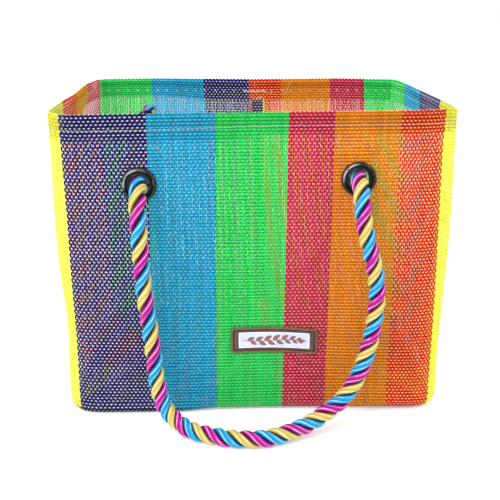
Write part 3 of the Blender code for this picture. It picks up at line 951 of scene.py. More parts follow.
# %% Yarn finish
def yarn_finish():
    """Coated yarn: fine fibres along it, a painted highlight on its crown, and painted shade where it dives
    between two crossings.

    The yarn attribute holds the place across the yarn, the number of the crossing and a random number.
    """
    make = Finish("coated mesh yarn", {"Specular IOR Level": 0.06})
    across, crossing, chance = make.parts("yarn")
    fibre = make.noise(make.vector(across * 3.0, crossing * 2.2, chance * 90.0), 1.0, 3.0)
    slub = make.noise(make.vector(chance * 70.0, crossing * 0.12, 0.0), 1.0)
    deep = make.mix(1.0, make.tint(), make.tint(), "MULTIPLY")
    colour = make.mix(fibre.step(0.62, 0.35) * 0.22, make.tint(), deep)
    colour = make.mix(slub.step(0.55, 0.3) * 0.2, colour, deep)
    # Painted highlight along the middle of the yarn.
    crown = abs(across).step(0.8, 0.0)
    colour = make.mix(crown * fibre.step(0.5, 0.7) * 0.06, colour, rgba(255, 255, 250))
    # Painted shade where the yarn dives under its neighbour between two crossings.
    dive = (crossing * (2 * math.pi)).wave().step(0.6, 0.0)
    shade = make.mix(1.0, deep, rgba(120, 120, 130), "MULTIPLY")
    colour = make.mix(dive * 0.3, colour, shade)
    make.bump(fibre * 0.6 + crown * 0.4, 0.0002, 0.6)
    return make.done(colour, fibre * 0.2 + 0.42)


print("yarn finish ready, one for every piece of cloth")

# %% [markdown]
# ## Weaving
# The mesh is a plain weave: coloured warps run down the walls, and pale yellow wefts run round them. Each
# yarn is a flat ribbon that dips over and under its neighbours, so the holes between them are real holes. A
# bump map could suggest the weave, but then nothing would show through, and seeing the far wall is what makes
# it a mesh.

# %% Weave
WARPS = 564
PITCH = CLOTH_ROUND / WARPS
ROW = 2.5
WARP_STRAY = 0.035
WEFT_STRAY = 0.06
WOBBLE = 0.06
WARP_WIDTHS = (0.94, 1.06)
WEFT_WIDTHS = (0.92, 1.08)
WEFT_HALF = 0.36
DIP = 0.35
CROWN = 0.2
BRIGHTEST = 0.92
WARP_WANDER = 0.2
WEFT_WANDER = 0.35
# Where a yarn's steps lie at a crossing, as shares of the way to the next one.
WARP_STEPS = np.array((-0.22, 0.22))
WEFT_STEPS = np.array((-0.25, 0.25))
# The rim that a piece's map leaves free, the height of each half of it, and where the halves start.
MAP_RIM = 0.005
MAP_HALF = 0.49
MAP_BASES = (0.5075, 0.0025)


def wander(along, down, reach):
    """A slow shift of the yarns, the sum of three waves, so that no row is ruled."""
    waves = np.sin(along / 31 + down / 47) + np.sin(along / 67 - down / 29 + 2)
    return reach * (waves + np.sin(along / 13 + down / 83 + 4)) / 3


def warp_grid(warp_at, weft_at, over, tint, painted_tones, top, gap):
    """All warps: distance across, distance down, lift, place across the yarn, crossing number and colour.

    A warp has three points across, raised in the middle on the side where it shows, and two steps down at
    each weft that it crosses.
    """
    edge = np.array((-1.0, 0.0, 1.0))
    side = np.repeat(over, 2, 1)[..., None]
    half = np.where(side > 0, top, PITCH - gap - top) * rng.uniform(*WARP_WIDTHS, (len(warp_at), 1, 1))
    across = warp_at[:, None, None] + edge * half + rng.normal(0, WOBBLE, side.shape)
    down = (weft_at[:, None] + WARP_STEPS * ROW).ravel()[None, :, None]
    number = (np.arange(len(weft_at))[:, None] + WARP_STEPS).ravel()[None, :, None]
    # Each crossing's colour is darkened and lightened by its painted light and shade.
    colour = tint[:, None, None] * np.repeat(painted_tones, 2, 1)[..., None, None]
    return across, down, side * (DIP + CROWN * (1 - edge**2)), edge, number, colour


def weft_grid(columns, weft_at, over, tint, painted_tones):
    """All wefts, as the same six arrays: two points across, and two steps along at each warp.

    They start and end half a pitch past the first and the last warp.
    """
    edge = np.array((-1.0, 1.0))
    half = WEFT_HALF * rng.uniform(*WEFT_WIDTHS, (len(weft_at), 1, 1))
    last = len(columns) - 1
    number = (np.arange(last + 1)[:, None] + WEFT_STEPS).ravel()
    number = np.concatenate([[-0.5], number, [last + 0.5]])
    across = np.interp(number, np.arange(last + 1), columns)
    across += PITCH * (number - np.clip(number, 0, last)) * np.sign(columns[-1] - columns[0])
    side = np.pad(-np.repeat(over.T, 2, 1), ((0, 0), (1, 1)))[..., None]
    pale = np.pad(np.repeat(tint, 2, 0), ((1, 1), (0, 0)), "edge")[None, :, None]
    # The wefts take the same painted light and shade at each crossing.
    shade = np.pad(np.repeat(painted_tones.T, 2, 1), ((0, 0), (1, 1)), "edge")[..., None, None]
    pale = pale * rng.uniform(*TONE_CHANCE, (len(weft_at), 1, 1, 1)) * shade
    across, number = across[None, :, None], number[None, :, None]
    return across, weft_at[:, None, None] + edge * half, side * DIP, edge, number, pale


def weave(name, columns, rows, place, tints, finish, keep=None, first=0, top=0.92, gap=0.2, painted_tones=1.0):
    """Warps at the places in columns woven with wefts at the places in rows, as one piece.

    place turns a distance across, a distance down and a lift into points. keep says which faces stay, from
    the distances of their middles. The warp is over the weft where the sum of their numbers, counted from
    first, is even. top is half the width of a warp on top, gap what stays open between two warps, and the
    last argument holds the painted light and shade that darkens or lightens each crossing.
    """
    warp_at = columns + rng.normal(0, WARP_STRAY, len(columns))
    weft_at = rows + rng.normal(0, WEFT_STRAY, len(rows))
    over = (-1.0) ** (first + np.arange(len(columns))[:, None] + np.arange(len(rows)))
    painted_tones = np.broadcast_to(painted_tones, over.shape)
    grids = (
        warp_grid(warp_at, weft_at, over, tints[:, 0], painted_tones, top, gap),
        weft_grid(columns, weft_at, over, tints[:, 1], painted_tones),
    )
    points, faces, spots, colours, yarns = [], [], [], [], []
    before = 0
    for u, v, lift, edge, number, colour in grids:
        chance = rng.random((max(len(u), len(v)), 1, 1))
        u, v, lift, edge, number, chance = np.broadcast_arrays(u, v, lift, edge, number, chance)
        spots.append(np.stack([u, v], -1).reshape(-1, 2))
        strayed = place(u + wander(u, v, WARP_WANDER), v + wander(v, u, WEFT_WANDER), lift)
        points.append(strayed.reshape(-1, 3))
        colours.append(np.broadcast_to(np.minimum(colour, BRIGHTEST), (*u.shape, 3)).reshape(-1, 3))
        yarns.append(np.stack([edge, number, chance], -1).reshape(-1, 3))
        faces.append(quads(*u.shape, flip=not before) + before)
        before += u.size
    uv = bake_halves(spots)
    points, faces, spots, colours, yarns = [np.concatenate(x) for x in (points, faces, spots, colours, yarns)]
    if keep is not None:
        faces = faces[keep(*spots[faces].mean(1).T)]
    return new_piece(name, points, faces, finish, "mesh_cloth", uv=uv, colour=colours, yarn=yarns)


def bake_halves(spots):
    """A map without overlaps for a weave: the warps fill its upper half and the wefts its lower half."""
    low = np.min([spot.min(0) for spot in spots], 0)
    high = np.max([spot.max(0) for spot in spots], 0)
    maps = [MAP_RIM + (1 - 2 * MAP_RIM) * (spot - low) / (high - low) for spot in spots]
    return np.concatenate([uv * (1.0, MAP_HALF) + (0.0, base) for uv, base in zip(maps, MAP_BASES)])


print("weave:", WARPS, "warps round the bag,", round(PITCH, 3), "mm apart")

# %% [markdown]
# ## Hem and leaning warps
# At the rim the cloth is turned in and sewn down, so two layers lie on each other and the hem looks denser
# than the wall. The inner layer could be a second cloth. Here the same warps simply run on over the fold, and
# the placing function moves them half a warp aside. It also lets the warps lean near the two front corners,
# where the photo's cloth is pulled out of plumb.

# %% Hem and leaning warps
# Columns: distance down the cloth, shift of the warps near the left front corner and near the right one.
LEANS = (
    (0.0, -2.2, -0.8),
    (25.0, -1.0, -2.6),
    (75.0, 1.1, -2.6),
    (170.0, 2.6, -2.6),
    (230.0, 3.4, -2.6),
)
# Columns: distance round the cloth of each of the two corners, reach of its full lean, reach of any lean.
LEAN_CORNERS = (
    (0.0, 20.0, 80.0),
    (282.2, 10.0, 38.0),
)
# Columns: distance round the cloth, share that the hem is narrower there, full reach and whole reach.
NARROW_HEMS = (
    (SEAM_AT, 0.04, 120.0, 170.0),
    (735.0, 0.16, 30.0, 90.0),
    (225.0, 0.2, 75.0, 110.0),
)
EYELET_HOLE = 10.3


def hem_share(along):
    """How deep the hem is there, as a share of its full depth: it is narrower at the back and the right."""
    share = 1.0
    for at, less, flat, end in NARROW_HEMS:
        share = share - less * fade(away_from(along, at), flat, end)
    return share


def hemmed(along, down, lift):
    """On the cloth, with the inner side of the hem half a warp aside and the warps leaning at two corners.

    Yarns of the inner side then lie behind the gaps of the outer side, so the hem is denser than the wall.
    """
    turned = np.clip(down / HEM_TOP, 0.0, 1.0)
    depth = np.where(down < HEM_TOP, HEM_TOP + (down - HEM_TOP) * hem_share(along), down)
    levels, *shifts = np.array(LEANS).T
    lean = 0.0
    for shift, (at, flat, end) in zip(shifts, LEAN_CORNERS):
        lean = lean + fade(away_from(along, at), flat, end) * np.interp(down, levels, shift)
    return on_cloth(along + turned * PITCH / 2 + lean, depth, lift)


def clear_of_eyelets(along, down):
    """True for the cloth that the eyelets' holes leave."""
    free = np.ones(len(along), bool)
    for _, at, up in EYELETS:
        free &= np.hypot(away_from(along, at), FOLD_TOP - down - up) > EYELET_HOLE
    return free


print("the hem is", round(float(hem_share(225.0)) * HEM_DEEP, 1), "mm deep at its narrowest")

# %% [markdown]
# ## Walls
# The walls are one cloth on the real bag. One mesh of it would be too heavy to handle, so six pieces of the
# same weave make it up and meet halfway between two warps. How wide the gaps are and how bright the yarns
# look differs from wall to wall, and both are matched to the photo.

# %% Walls
# Columns: piece, number of its first warp and of the one after its last, half width of a warp on top, gap
# between two warps, and the painted light that brightens the inner side of the hem and the wall below it.
WALLS = (
    ("mesh_front_left", 0, 85, 0.84, 0.34, 1.0, 1.0),
    ("mesh_front_right", 85, 169, 0.84, 0.34, 1.0, 1.0),
    ("mesh_right", 169, 285, 0.98, 0.02, 1.5, 1.25),
    ("mesh_back_right", 285, 371, 0.98, 0.16, 1.06, 1.5),
    ("mesh_back_left", 371, 456, 0.98, 0.16, 1.0, 1.5),
    ("mesh_left", 456, 564, 0.8, 0.02, 2.1, 1.6),
)
# Rows of wefts from the rim: up the hem's inner side, wider apart near the fold, then down the wall.
WALL_ROWS = 96
hem_steps = np.arange(1, 9) + 0.5 * np.minimum(np.arange(1, 9) / 3, 1.0)
hem_steps = -hem_steps[::-1] * HEM_DEEP / (hem_steps[-1] * ROW)
ROWS = HEM_TOP / 2 + ROW * np.concatenate([hem_steps, np.arange(0, WALL_ROWS)])
# Columns: distance down the cloth, how bright its yarns are painted there: painted light and shade on the
# hem's inner side, a painted highlight along the fold at the rim, and painted shade on the outside of the
# dense hem and on the foot under the bag.
PAINTED_TONES = (
    (-22.0, 1.15),
    (-12.0, 1.15),
    (-9.5, 0.9),
    (-6.0, 0.85),
    (-4.2, 1.15),
    (-0.9, 1.4),
    (1.5, 0.85),
    (8.0, 0.8),
    (12.0, 0.88),
    (18.0, 0.9),
    (20.0, 1.0),
    (226.5, 1.0),
    (229.0, 0.4),
    (233.0, 0.15),
)
# Down to where a narrower hem moves the painted light and shade, from where a round foot does and by how
# much, and the outer side of the hem, which keeps the table's painted light and shade as they are.
HEM_TONES_TO = 40.0
FOOT_TONES_FROM = 200.0
ROUND_FOOT_LOWER = 3.0
HEM_OUTSIDE = (-1.0, 19.0)


def painted_crossing_tones(columns, hem_painted_light, bright):
    """How bright each crossing of a wall is painted: the table's painted light and shade down the cloth,
    times the wall's own painted light inside and below its hem.

    Where the hem is narrower PAINTED_TONES is read a little further down, and at a round foot a little higher
    up.
    """
    down = ROWS / np.where((ROWS > 0) & (ROWS < HEM_TONES_TO), hem_share(columns)[:, None], 1.0)
    round_foot = ROUND_FOOT_LOWER * (1 - folded_sharp(columns)[:, None])
    down = down - np.where(ROWS > FOOT_TONES_FROM, round_foot, 0.0)
    inner, outer = HEM_OUTSIDE
    own = np.select([down > outer, down < inner], [bright, hem_painted_light], 1.0)
    return np.interp(down, *np.array(PAINTED_TONES).T) * own


mesh_yarn = yarn_finish()
walls = []
for name, first, last, top, gap, hem_painted_light, bright in WALLS:
    columns = (np.arange(first, last) + 0.5) * PITCH
    painted_tones = painted_crossing_tones(columns, hem_painted_light, bright)
    tints = stripe_tints(columns)
    woven = weave(name, columns, ROWS, hemmed, tints, mesh_yarn, clear_of_eyelets, first, top, gap, painted_tones)
    walls.append(woven)
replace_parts(walls[0], "body_cloth")
for piece, (_, first, last, *_) in zip(walls, WALLS):
    flat = ((last - first) * PITCH * MM, (CLOTH_ENDS - STATIONS[0]) * MM)
print("walls:", len(walls), "pieces with", len(ROWS), "wefts each")

# %% [markdown]
# ## Base, corner flaps and back seam
# The front and back walls fold under the bag and meet in a flat seam, and the side walls are folded in as
# flat triangles over them, which shows through the mesh as two slanting lines. All of them are the same weave
# with another placing function, cut to their outline by a test of which faces lie inside a polygon. Inside
# the back wall the seam's allowance is folded to one side.


# %% Base and flaps
def inside(x, y, ring):
    """True for points in the polygon: a line from them towards +x crosses it an odd number of times."""
    x0, y0 = ring.T
    x1, y1 = np.roll(ring, -1, 0).T
    crosses = (y0 > y[:, None]) != (y1 > y[:, None])
    run = np.where(y1 == y0, 1.0, y1 - y0)
    meets = x0 + (y[:, None] - y0) / run * (x1 - x0)
    return (crosses & (x[:, None] < meets)).sum(1) % 2 == 1


BASE_SEAM_Y = -12.5
BASE_OVERLAP = 1.2
BASE_Z = 0.6
# Painted shade on the base, which lies under the bag out of the light.
BASE_PAINTED_SHADE = 0.6
FLAP_Z = 1.95
FLAP_REACH = 55.0
FOOT_EDGE_IN = 1.5
FOOT_POINTS = 120
# Columns: piece, number of its first warp and of the one after its last, lowest and highest y.
BASES = (
    ("mesh_base_front", 0, 169, -100.0, BASE_SEAM_Y + BASE_OVERLAP),
    ("mesh_base_back", 285, 455, BASE_SEAM_Y + BASE_OVERLAP, 80.0),
)
# Columns: piece, number of its first warp and of the one after its last, x of its edge and of its point.
FLAPS = (
    ("mesh_flap_right", 169, 285, 139.4, 139.4 - FLAP_REACH),
    ("mesh_flap_left", 456, 564, -140.0, -140.0 + FLAP_REACH),
)

foot_at = np.linspace(0, CLOTH_ROUND, FOOT_POINTS + 1)[:-1]
foot_ring = on_cloth(foot_at, np.full(FOOT_POINTS, CLOTH_ENDS - FOOT_EDGE_IN))[:, :2]


def level(height, turned=False):
    """A placing function for flat cloth at a height: across is x and down is y, or the other way round."""

    def place(across, down, lift):
        pair = (down, across) if turned else (across, down)
        return np.stack([*pair, height + 0.0 * across + lift], -1)

    return place


def on_base(x, y):
    """True for the part of the flat cloth that lies within the foot's outline."""
    return inside(x, y, foot_ring)


def on_flap(y, x):
    """True for the part of the flat cloth that lies within the corner flap which is being made."""
    return inside(x, y, flap)


for name, first, last, low, high in BASES:
    along = (np.arange(first, last) + 0.5) * PITCH
    across = on_cloth(along, np.full(len(along), CLOTH_ENDS))[:, 0]
    foot_x = foot_ring[:, 0]
    across = np.interp(across, [across.min(), across.max()], [foot_x.min(), foot_x.max()])
    rows = np.arange(low, high, ROW)
    piece = weave(name, across, rows, level(BASE_Z), stripe_tints(along), mesh_yarn, on_base, painted_tones=BASE_PAINTED_SHADE)
for name, first, last, outer, point in FLAPS:
    along = (np.arange(first, last) + 0.5) * PITCH
    across = on_cloth(along, np.full(len(along), CLOTH_ENDS))[:, 1]
    rows = np.sort(outer + np.sign(point - outer) * np.arange(0.0, FLAP_REACH, ROW))
    flap = np.array([(outer, across.min()), (outer, across.max()), (point, BASE_SEAM_Y)])
    piece = weave(name, across, rows, level(FLAP_Z, True), stripe_tints(along), mesh_yarn, on_flap)
    width = (last - first) * PITCH * MM
    width * FLAP_REACH * MM / 2
print("base:", len(BASES), "pieces and", len(FLAPS), "corner flaps")

# %% Seam allowance inside the back
# Where the allowance starts below the rim, how far inside the wall it lies, and a place with yellow yarn.
SEAM_FLAP_TOP = 17.8
SEAM_FLAP_IN = 1.25
YELLOW_AT = 935.0


def on_seam_flap(along, down, lift):
    """On the seam allowance, which lies against the inner side of the back wall."""
    return on_cloth(along, down, lift - SEAM_FLAP_IN)


columns = np.arange(SEAM_AT - SEAM_ALLOWANCE + PITCH / 2, SEAM_AT, PITCH)
tints = stripe_tints(columns + SEAM_ALLOWANCE)
tints[0] = stripe_tints(np.array([YELLOW_AT]))[0]
rows = np.arange(SEAM_FLAP_TOP, FOOT_STARTS, ROW)
seam_flap = weave("mesh_back_seam", columns, rows, on_seam_flap, tints, mesh_yarn)
print("seam allowance:", len(columns), "warps, the first one yellow")

# %% [markdown]
# ## Stitches
# A stitch is a short tube with round ends that lies in the cloth's surface. All stitches of a seam are one
# piece, worked out together from two arrays: where each one starts and where it ends.


# %% Sewing thread
def thread_finish():
    """White sewing thread: a two-ply twist drawn along each stitch, with painted shade between the plies."""
    make = Finish("sewing thread", {"Specular IOR Level": 0.3, "Sheen Weight": 0.2})
    across, along, _ = make.parts("yarn")
    ply = (along * 9.0 + across * 6.3).wave()
    deep = make.mix(1.0, make.tint(), make.tint(), "MULTIPLY")
    # Painted shade between the plies.
    colour = make.mix(ply.step(0.6, 0.1) * 0.35, make.tint(), deep)
    dirt = make.noise(make.place(), 240.0)
    colour = make.mix(dirt.step(0.6, 0.8) * 0.1, colour, rgba(190, 186, 176))
    make.bump(ply, 0.0001, 0.7)
    return make.done(colour, dirt * 0.2 + 0.45)


def threads(name, starts, ends, out, radius, colour, slot, bow=0.3, rings=5, sides=6):
    """Round sewing threads from starts to ends, lifted in their middle by bow along out, as one piece.

    The radius rounds off to nothing at both ends, so that a thread dives into the cloth.
    """
    along = np.linspace(0.0, 1.0, rings)[None, :, None]
    lift = 4 * bow * along * (1 - along) * out[:, None]
    path = starts[:, None] * (1 - along) + ends[:, None] * along + lift
    axis = unit(ends - starts)
    side = unit(np.cross(out, axis))
    up = np.cross(axis, side)
    turn = np.linspace(0, 2 * math.pi, sides + 1)[:-1]
    size = radius * np.sqrt(1 - (2 * along - 1) ** 4)[..., None]
    ring = np.cos(turn)[:, None] * side[:, None, None] + np.sin(turn)[:, None] * up[:, None, None]
    points = path[:, :, None] + size * ring
    chance = rng.random((len(starts), 1, 1))
    length = np.linalg.norm(ends - starts, axis=1)[:, None, None] * along
    yarn = np.stack(np.broadcast_arrays(turn / math.pi - 1, length, chance), -1)
    tint = np.broadcast_to(colour, points.shape)
    faces = quads(len(starts), rings, sides, close_around=True)
    points, tint, yarn = points.reshape(-1, 3), tint.reshape(-1, 3), yarn.reshape(-1, 3)
    return new_piece(name, points, faces, thread, slot, colour=tint, merge=True, yarn=yarn)


thread = thread_finish()
print("sewing thread ready")

# %% Seams
# Pitch of the hem's stitches outside, and how far they stray and slant. Then the same for the ticks inside,
# with half the length of one.
STITCH = 3.3
STITCH_STRAY = 0.15
STITCH_SLANT = 0.2
TICK = 9.2
TICK_HALF = 1.3
TICK_STRAY = 0.4
# Columns: distance round the cloth, depth of the hem's seam below the rim.
SEAM_DEPTHS = (
    (20.0, 10.9),
    (60.0, 10.9),
    (150.0, 9.0),
    (330.0, 9.0),
    (560.0, 10.4),
    (700.0, 10.4),
    (915.0, 9.6),
)
BACKTACK_FROM = SEAM_AT - 14.5
BACKTACK_TO = SEAM_AT + 6.0
BACKTACK_DEEP = 10.6
BACKTACK_COUNT = 34
BACKTACK_SPREAD = 0.35
# Loose ends of sewing thread inside the back hem, point by point: along, depth below the rim.
THREAD_ENDS = (
    ((610.8, 10.9), (610.6, 12.2), (610.9, 13.8)),
    ((612.2, 1.0), (612.0, 3.0), (612.3, 5.0), (612.0, 6.6)),
    ((575.0, 2.4), (576.6, 3.0), (578.0, 4.6), (579.0, 6.8)),
    ((579.0, 6.8), (579.6, 9.4), (580.8, 12.0), (582.6, 13.4), (584.2, 12.4)),
    ((601.5, 11.6), (598.0, 12.0), (594.5, 13.4), (591.0, 14.0)),
)
# The stitches of the back seam: how far beside it they run, half their length, and where they start. Then
# how far down the top edge of its flap lies.
BACK_STITCH_IN = 1.2
BACK_STITCH_HALF = 1.3
BACK_STITCH_TOP = 22.0
FLAP_EDGE_DOWN = 16.6
WHITE = linear(232, 234, 236)
GREY = linear(206, 208, 214)
YELLOW = linear(240, 226, 60)


def seam_depth(at):
    """Depth of the hem's seam below the rim at any distance round the cloth."""
    place, depth = np.array(SEAM_DEPTHS).T
    return np.interp(at, place, depth, period=CLOTH_ROUND)


def sewn(name, starts, ends, radius, colour, bow=0.3, face=0.6):
    """Threads on the cloth between pairs of along and down; face is their height over its middle surface."""
    first = on_cloth(*starts, face)
    last = on_cloth(*ends, face)
    out = unit(on_cloth(*starts, 1.0) - on_cloth(*starts, 0.0)) * np.sign(face)
    return threads(name, first, last, out, radius, colour, "mesh_cloth", bow=bow)


print("the hem's seam lies", round(float(seam_depth(0.0)), 1), "mm below the rim at the left front corner")

# %% Sew the hem and the back seam
count = round(CLOTH_ROUND / STITCH)
at = (np.arange(count) + 0.5) * CLOTH_ROUND / count
down = seam_depth(at) + rng.normal(0.0, STITCH_STRAY, count)
slant = STITCH_SLANT * (-1.0) ** np.arange(count)
reach = 0.5 * STITCH * rng.uniform(0.9, 1.0, count)
sewn("hem_stitches_outside", (at - reach, down - slant), (at + reach, down + slant), 0.17, GREY, 0.1, 0.7)

count = round(CLOTH_ROUND / TICK)
at = (np.arange(count) + 0.5) * CLOTH_ROUND / count + rng.normal(0.0, TICK_STRAY, count)
down = HEM_TOP - seam_depth(at)
slant = rng.normal(0.7, 0.2, count)
sewn("hem_stitches_inside", (at - TICK_HALF, down - slant), (at + TICK_HALF, down + slant), 0.27, WHITE)

at = np.linspace(BACKTACK_FROM, BACKTACK_TO, BACKTACK_COUNT) + rng.normal(0.0, 0.3, BACKTACK_COUNT)
down = HEM_TOP - BACKTACK_DEEP + rng.normal(0.0, BACKTACK_SPREAD, BACKTACK_COUNT)
slant = rng.normal(0.0, BACKTACK_SPREAD, BACKTACK_COUNT)
sewn("backtack", (at - 0.9, down - slant), (at + 0.9, down + slant), 0.24, WHITE, 0.35)

starts = np.concatenate([np.array(line)[:-1] for line in THREAD_ENDS]).T
ends = np.concatenate([np.array(line)[1:] for line in THREAD_ENDS]).T
starts[1], ends[1] = HEM_TOP - starts[1], HEM_TOP - ends[1]
sewn("loose_thread_ends", starts, ends, 0.16, WHITE, 0.0, 0.9)

down = np.arange(BACK_STITCH_TOP, FOOT_STARTS, STITCH)
at = np.full(len(down), SEAM_AT - BACK_STITCH_IN)
starts, ends = (at, down - BACK_STITCH_HALF), (at, down + BACK_STITCH_HALF)
sewn("back_seam_stitches", starts, ends, 0.2, WHITE, face=-1.9)
edge_from = SEAM_AT - SEAM_ALLOWANCE + 0.6
edge_to = SEAM_AT - SEAM_ALLOWANCE + 9.5
edge = np.array([[edge_from, edge_to], [FLAP_EDGE_DOWN, FLAP_EDGE_DOWN]])
sewn("seam_flap_edge", edge[:, :1], edge[:, 1:], 0.5, YELLOW, 0.0, -1.3)
print("stitches: hem outside", round(CLOTH_ROUND / STITCH), "and inside", round(CLOTH_ROUND / TICK))

# %% [markdown]
# ## Eyelets
# Each eyelet is a satin black ring: a rolled bead outside, a groove and a smaller bead round the hole,
# joined through the cloth to a flatter ring inside. It is one closed profile, swept once round the hole's
# axis.

# %% Eyelets
# The profile in mm: distance from the axis, and height over the wall's outer surface.
EYELET_PROFILE = (
    (7.70, -1.50), (7.70, -0.60), (7.70, 0.60), (7.78, 1.60), (8.05, 2.20), (8.50, 2.42), (8.92, 2.22),
    (9.20, 1.72), (9.42, 1.42), (9.66, 1.62), (10.02, 2.22), (10.66, 2.66), (11.40, 2.76), (12.12, 2.44),
    (12.64, 1.74), (12.92, 0.88), (12.86, 0.34), (12.00, 0.26), (8.90, 0.26), (8.90, -1.46), (11.90, -1.46),
    (12.30, -1.70), (12.34, -2.30), (11.90, -2.95), (11.00, -3.30), (9.80, -3.38), (8.70, -3.20),
    (7.95, -2.60),
)
EYELET_TURNS = 72
# The direction round the eyelet of the painted highlight on its crest: to the left, and up.
EYELET_HIGHLIGHT_TOWARDS = (-0.8, 0.6)


def swept(profile, count):
    """A closed profile of radius and height swept round the local Z axis: its points in local x, y, z."""
    radius, height = np.array(profile).T
    turn = np.arange(count)[:, None] * 2 * math.pi / count
    return np.stack([radius * np.cos(turn), radius * np.sin(turn), height + 0.0 * turn], -1)


def on_wall(along, height, local):
    """Local points on a fitting's patch of the wall: x round the cloth, y up it and z out of it."""
    middle, side, up, out = patch_axes(along, height)
    return middle + local @ np.stack([side, up, out])


def eyelet_finish():
    """Satin black lacquer, dull in the groove, pale in patches on its crest, and with a painted highlight on
    the crest at its upper left.
    """
    make = Finish("satin black lacquer", {"Specular IOR Level": 0.36})
    radius, height, turn = make.parts("ring")
    fine = make.noise(make.place(), 900.0, 4.0)
    crest_patches = make.noise(make.place(), 130.0, 4.0)
    # Pale patches along the crest, and a painted highlight on the crest towards the upper left.
    crest = height.step(2.3, 2.7) * (crest_patches.step(0.52, 0.7) * 0.3 + turn.step(0.55, 0.95) * crest_patches.step(0.3, 0.5))
    colour = make.mix(fine * 0.5, rgba(5, 5, 6), rgba(12, 12, 14))
    colour = make.mix(crest * 0.8, colour, rgba(176, 172, 168))
    groove = height.step(2.0, 1.5) * radius.step(8.6, 9.0)
    colour = make.mix(groove * 0.6, colour, rgba(14, 14, 15))
    make.bump(fine, 0.00004, 0.4)
    return make.done(colour, fine * 0.08 + 0.14 + groove * 0.3)


lacquer = eyelet_finish()
for name, along, height in EYELETS:
    local = swept(EYELET_PROFILE, EYELET_TURNS)
    radius = np.hypot(local[..., 0], local[..., 1])
    # How far each point lies towards the painted highlight.
    highlight_towards = local[..., :2] @ EYELET_HIGHLIGHT_TOWARDS / radius
    ring_at = np.stack([radius, local[..., 2], highlight_towards], -1).reshape(-1, 3)
    faces = quads(1, EYELET_TURNS, len(EYELET_PROFILE), close_long=True, close_around=True)
    points = on_wall(along, height, local.reshape(-1, 3))
    piece = new_piece("rolled_eyelet_" + name, points, faces, lacquer, "eyelet", ring=ring_at)
    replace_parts(piece, "eyelet_" + name)
print("eyelets:", len(EYELETS), "rings of", round(2 * max(radius for radius, _ in EYELET_PROFILE), 1), "mm")

# %% [markdown]
# ## Label
# A small moulded label: a round bead, a stitched groove and a flat band around a pale plate. Its rounded
# rectangle is worked out for any inset, so a table of insets and heights is enough to shape the whole frame.
# The plate is set into it in the same way.

# %% Label outline
LABEL_HALF = (33.5, 10.2)
LABEL_CORNER = 3.0
LABEL_ARCH = 1.5
LABEL_TILT = -0.03
LABEL_DROP = 1.2
# Columns: inset at the ends, inset at the top and bottom, height over the wall.
FRAME_PROFILE = (
    (0.25, 0.25, 0.30), (0.00, 0.00, 0.70), (0.00, 0.00, 1.30), (0.20, 0.20, 1.85), (0.60, 0.60, 2.30),
    (1.05, 1.05, 2.42), (1.45, 1.40, 2.25), (1.80, 1.65, 1.85), (1.95, 1.75, 1.50), (2.15, 1.85, 1.38),
    (2.65, 2.30, 1.38), (2.85, 2.40, 1.50), (3.00, 2.50, 1.75), (3.30, 2.65, 1.92), (4.20, 3.00, 1.98),
    (5.20, 3.40, 1.92), (5.70, 3.62, 1.70), (5.90, 3.72, 1.20), (5.95, 3.76, 0.50), (5.95, 3.76, 0.30),
)
PLATE_PROFILE = (
    (6.05, 3.84, 0.50), (6.05, 3.84, 1.60), (6.15, 3.92, 1.86), (6.40, 4.10, 2.00), (6.80, 4.40, 2.00),
    (7.05, 4.60, 1.90), (7.40, 4.90, 1.88), (10.0, 6.10, 1.94), (16.0, 7.60, 2.00), (24.0, 8.90, 2.04),
    (31.0, 9.80, 2.05), (33.4, 10.1, 2.05),
)
CORNER_POINTS = 7
SIDE_POINTS = 12
CORNER_SIGNS = ((1, 1), (-1, 1), (-1, -1), (1, -1))


def rounded(inset_x, inset_y, corner):
    """Points round a rounded rectangle inset from the label's outline: four corner arcs and four sides."""
    half = np.array(LABEL_HALF) - (inset_x, inset_y)
    corner = min(corner, *half)
    turn = np.linspace(0, math.pi / 2, CORNER_POINTS)
    fill = np.linspace(0, 1, SIDE_POINTS)[1:-1, None]
    sides = []
    for quarter, sign in enumerate(CORNER_SIGNS):
        angle = turn + quarter * math.pi / 2
        arc = np.array(sign) * (half - corner) + corner * np.stack([np.cos(angle), np.sin(angle)], 1)
        after = np.array(CORNER_SIGNS[(quarter + 1) % 4]) * (half - corner)
        goal = after + corner * np.array([math.cos(angle[-1]), math.sin(angle[-1])])
        sides += [arc, arc[-1] * (1 - fill) + goal * fill]
    return np.concatenate(sides)


def arched(local):
    """The label's points with its middle a little higher than its ends, as it sits on the slack cloth."""
    rise = LABEL_ARCH * (0.5 - (local[..., 0] / LABEL_HALF[0]) ** 2) + LABEL_TILT * local[..., 0] - LABEL_DROP
    return np.stack([local[..., 0], local[..., 1] + rise, local[..., 2]], -1)


def framed(profile, least):
    """A profile of insets and heights swept round the label, as rows of local points."""
    rows = []
    for inset_x, inset_y, height in profile:
        flat = rounded(inset_x, inset_y, max(LABEL_CORNER - inset_x, least))
        rows.append(np.concatenate([flat, np.full((len(flat), 1), height)], 1))
    return np.array(rows)


print("label outline:", len(rounded(0.0, 0.0, LABEL_CORNER)), "points")


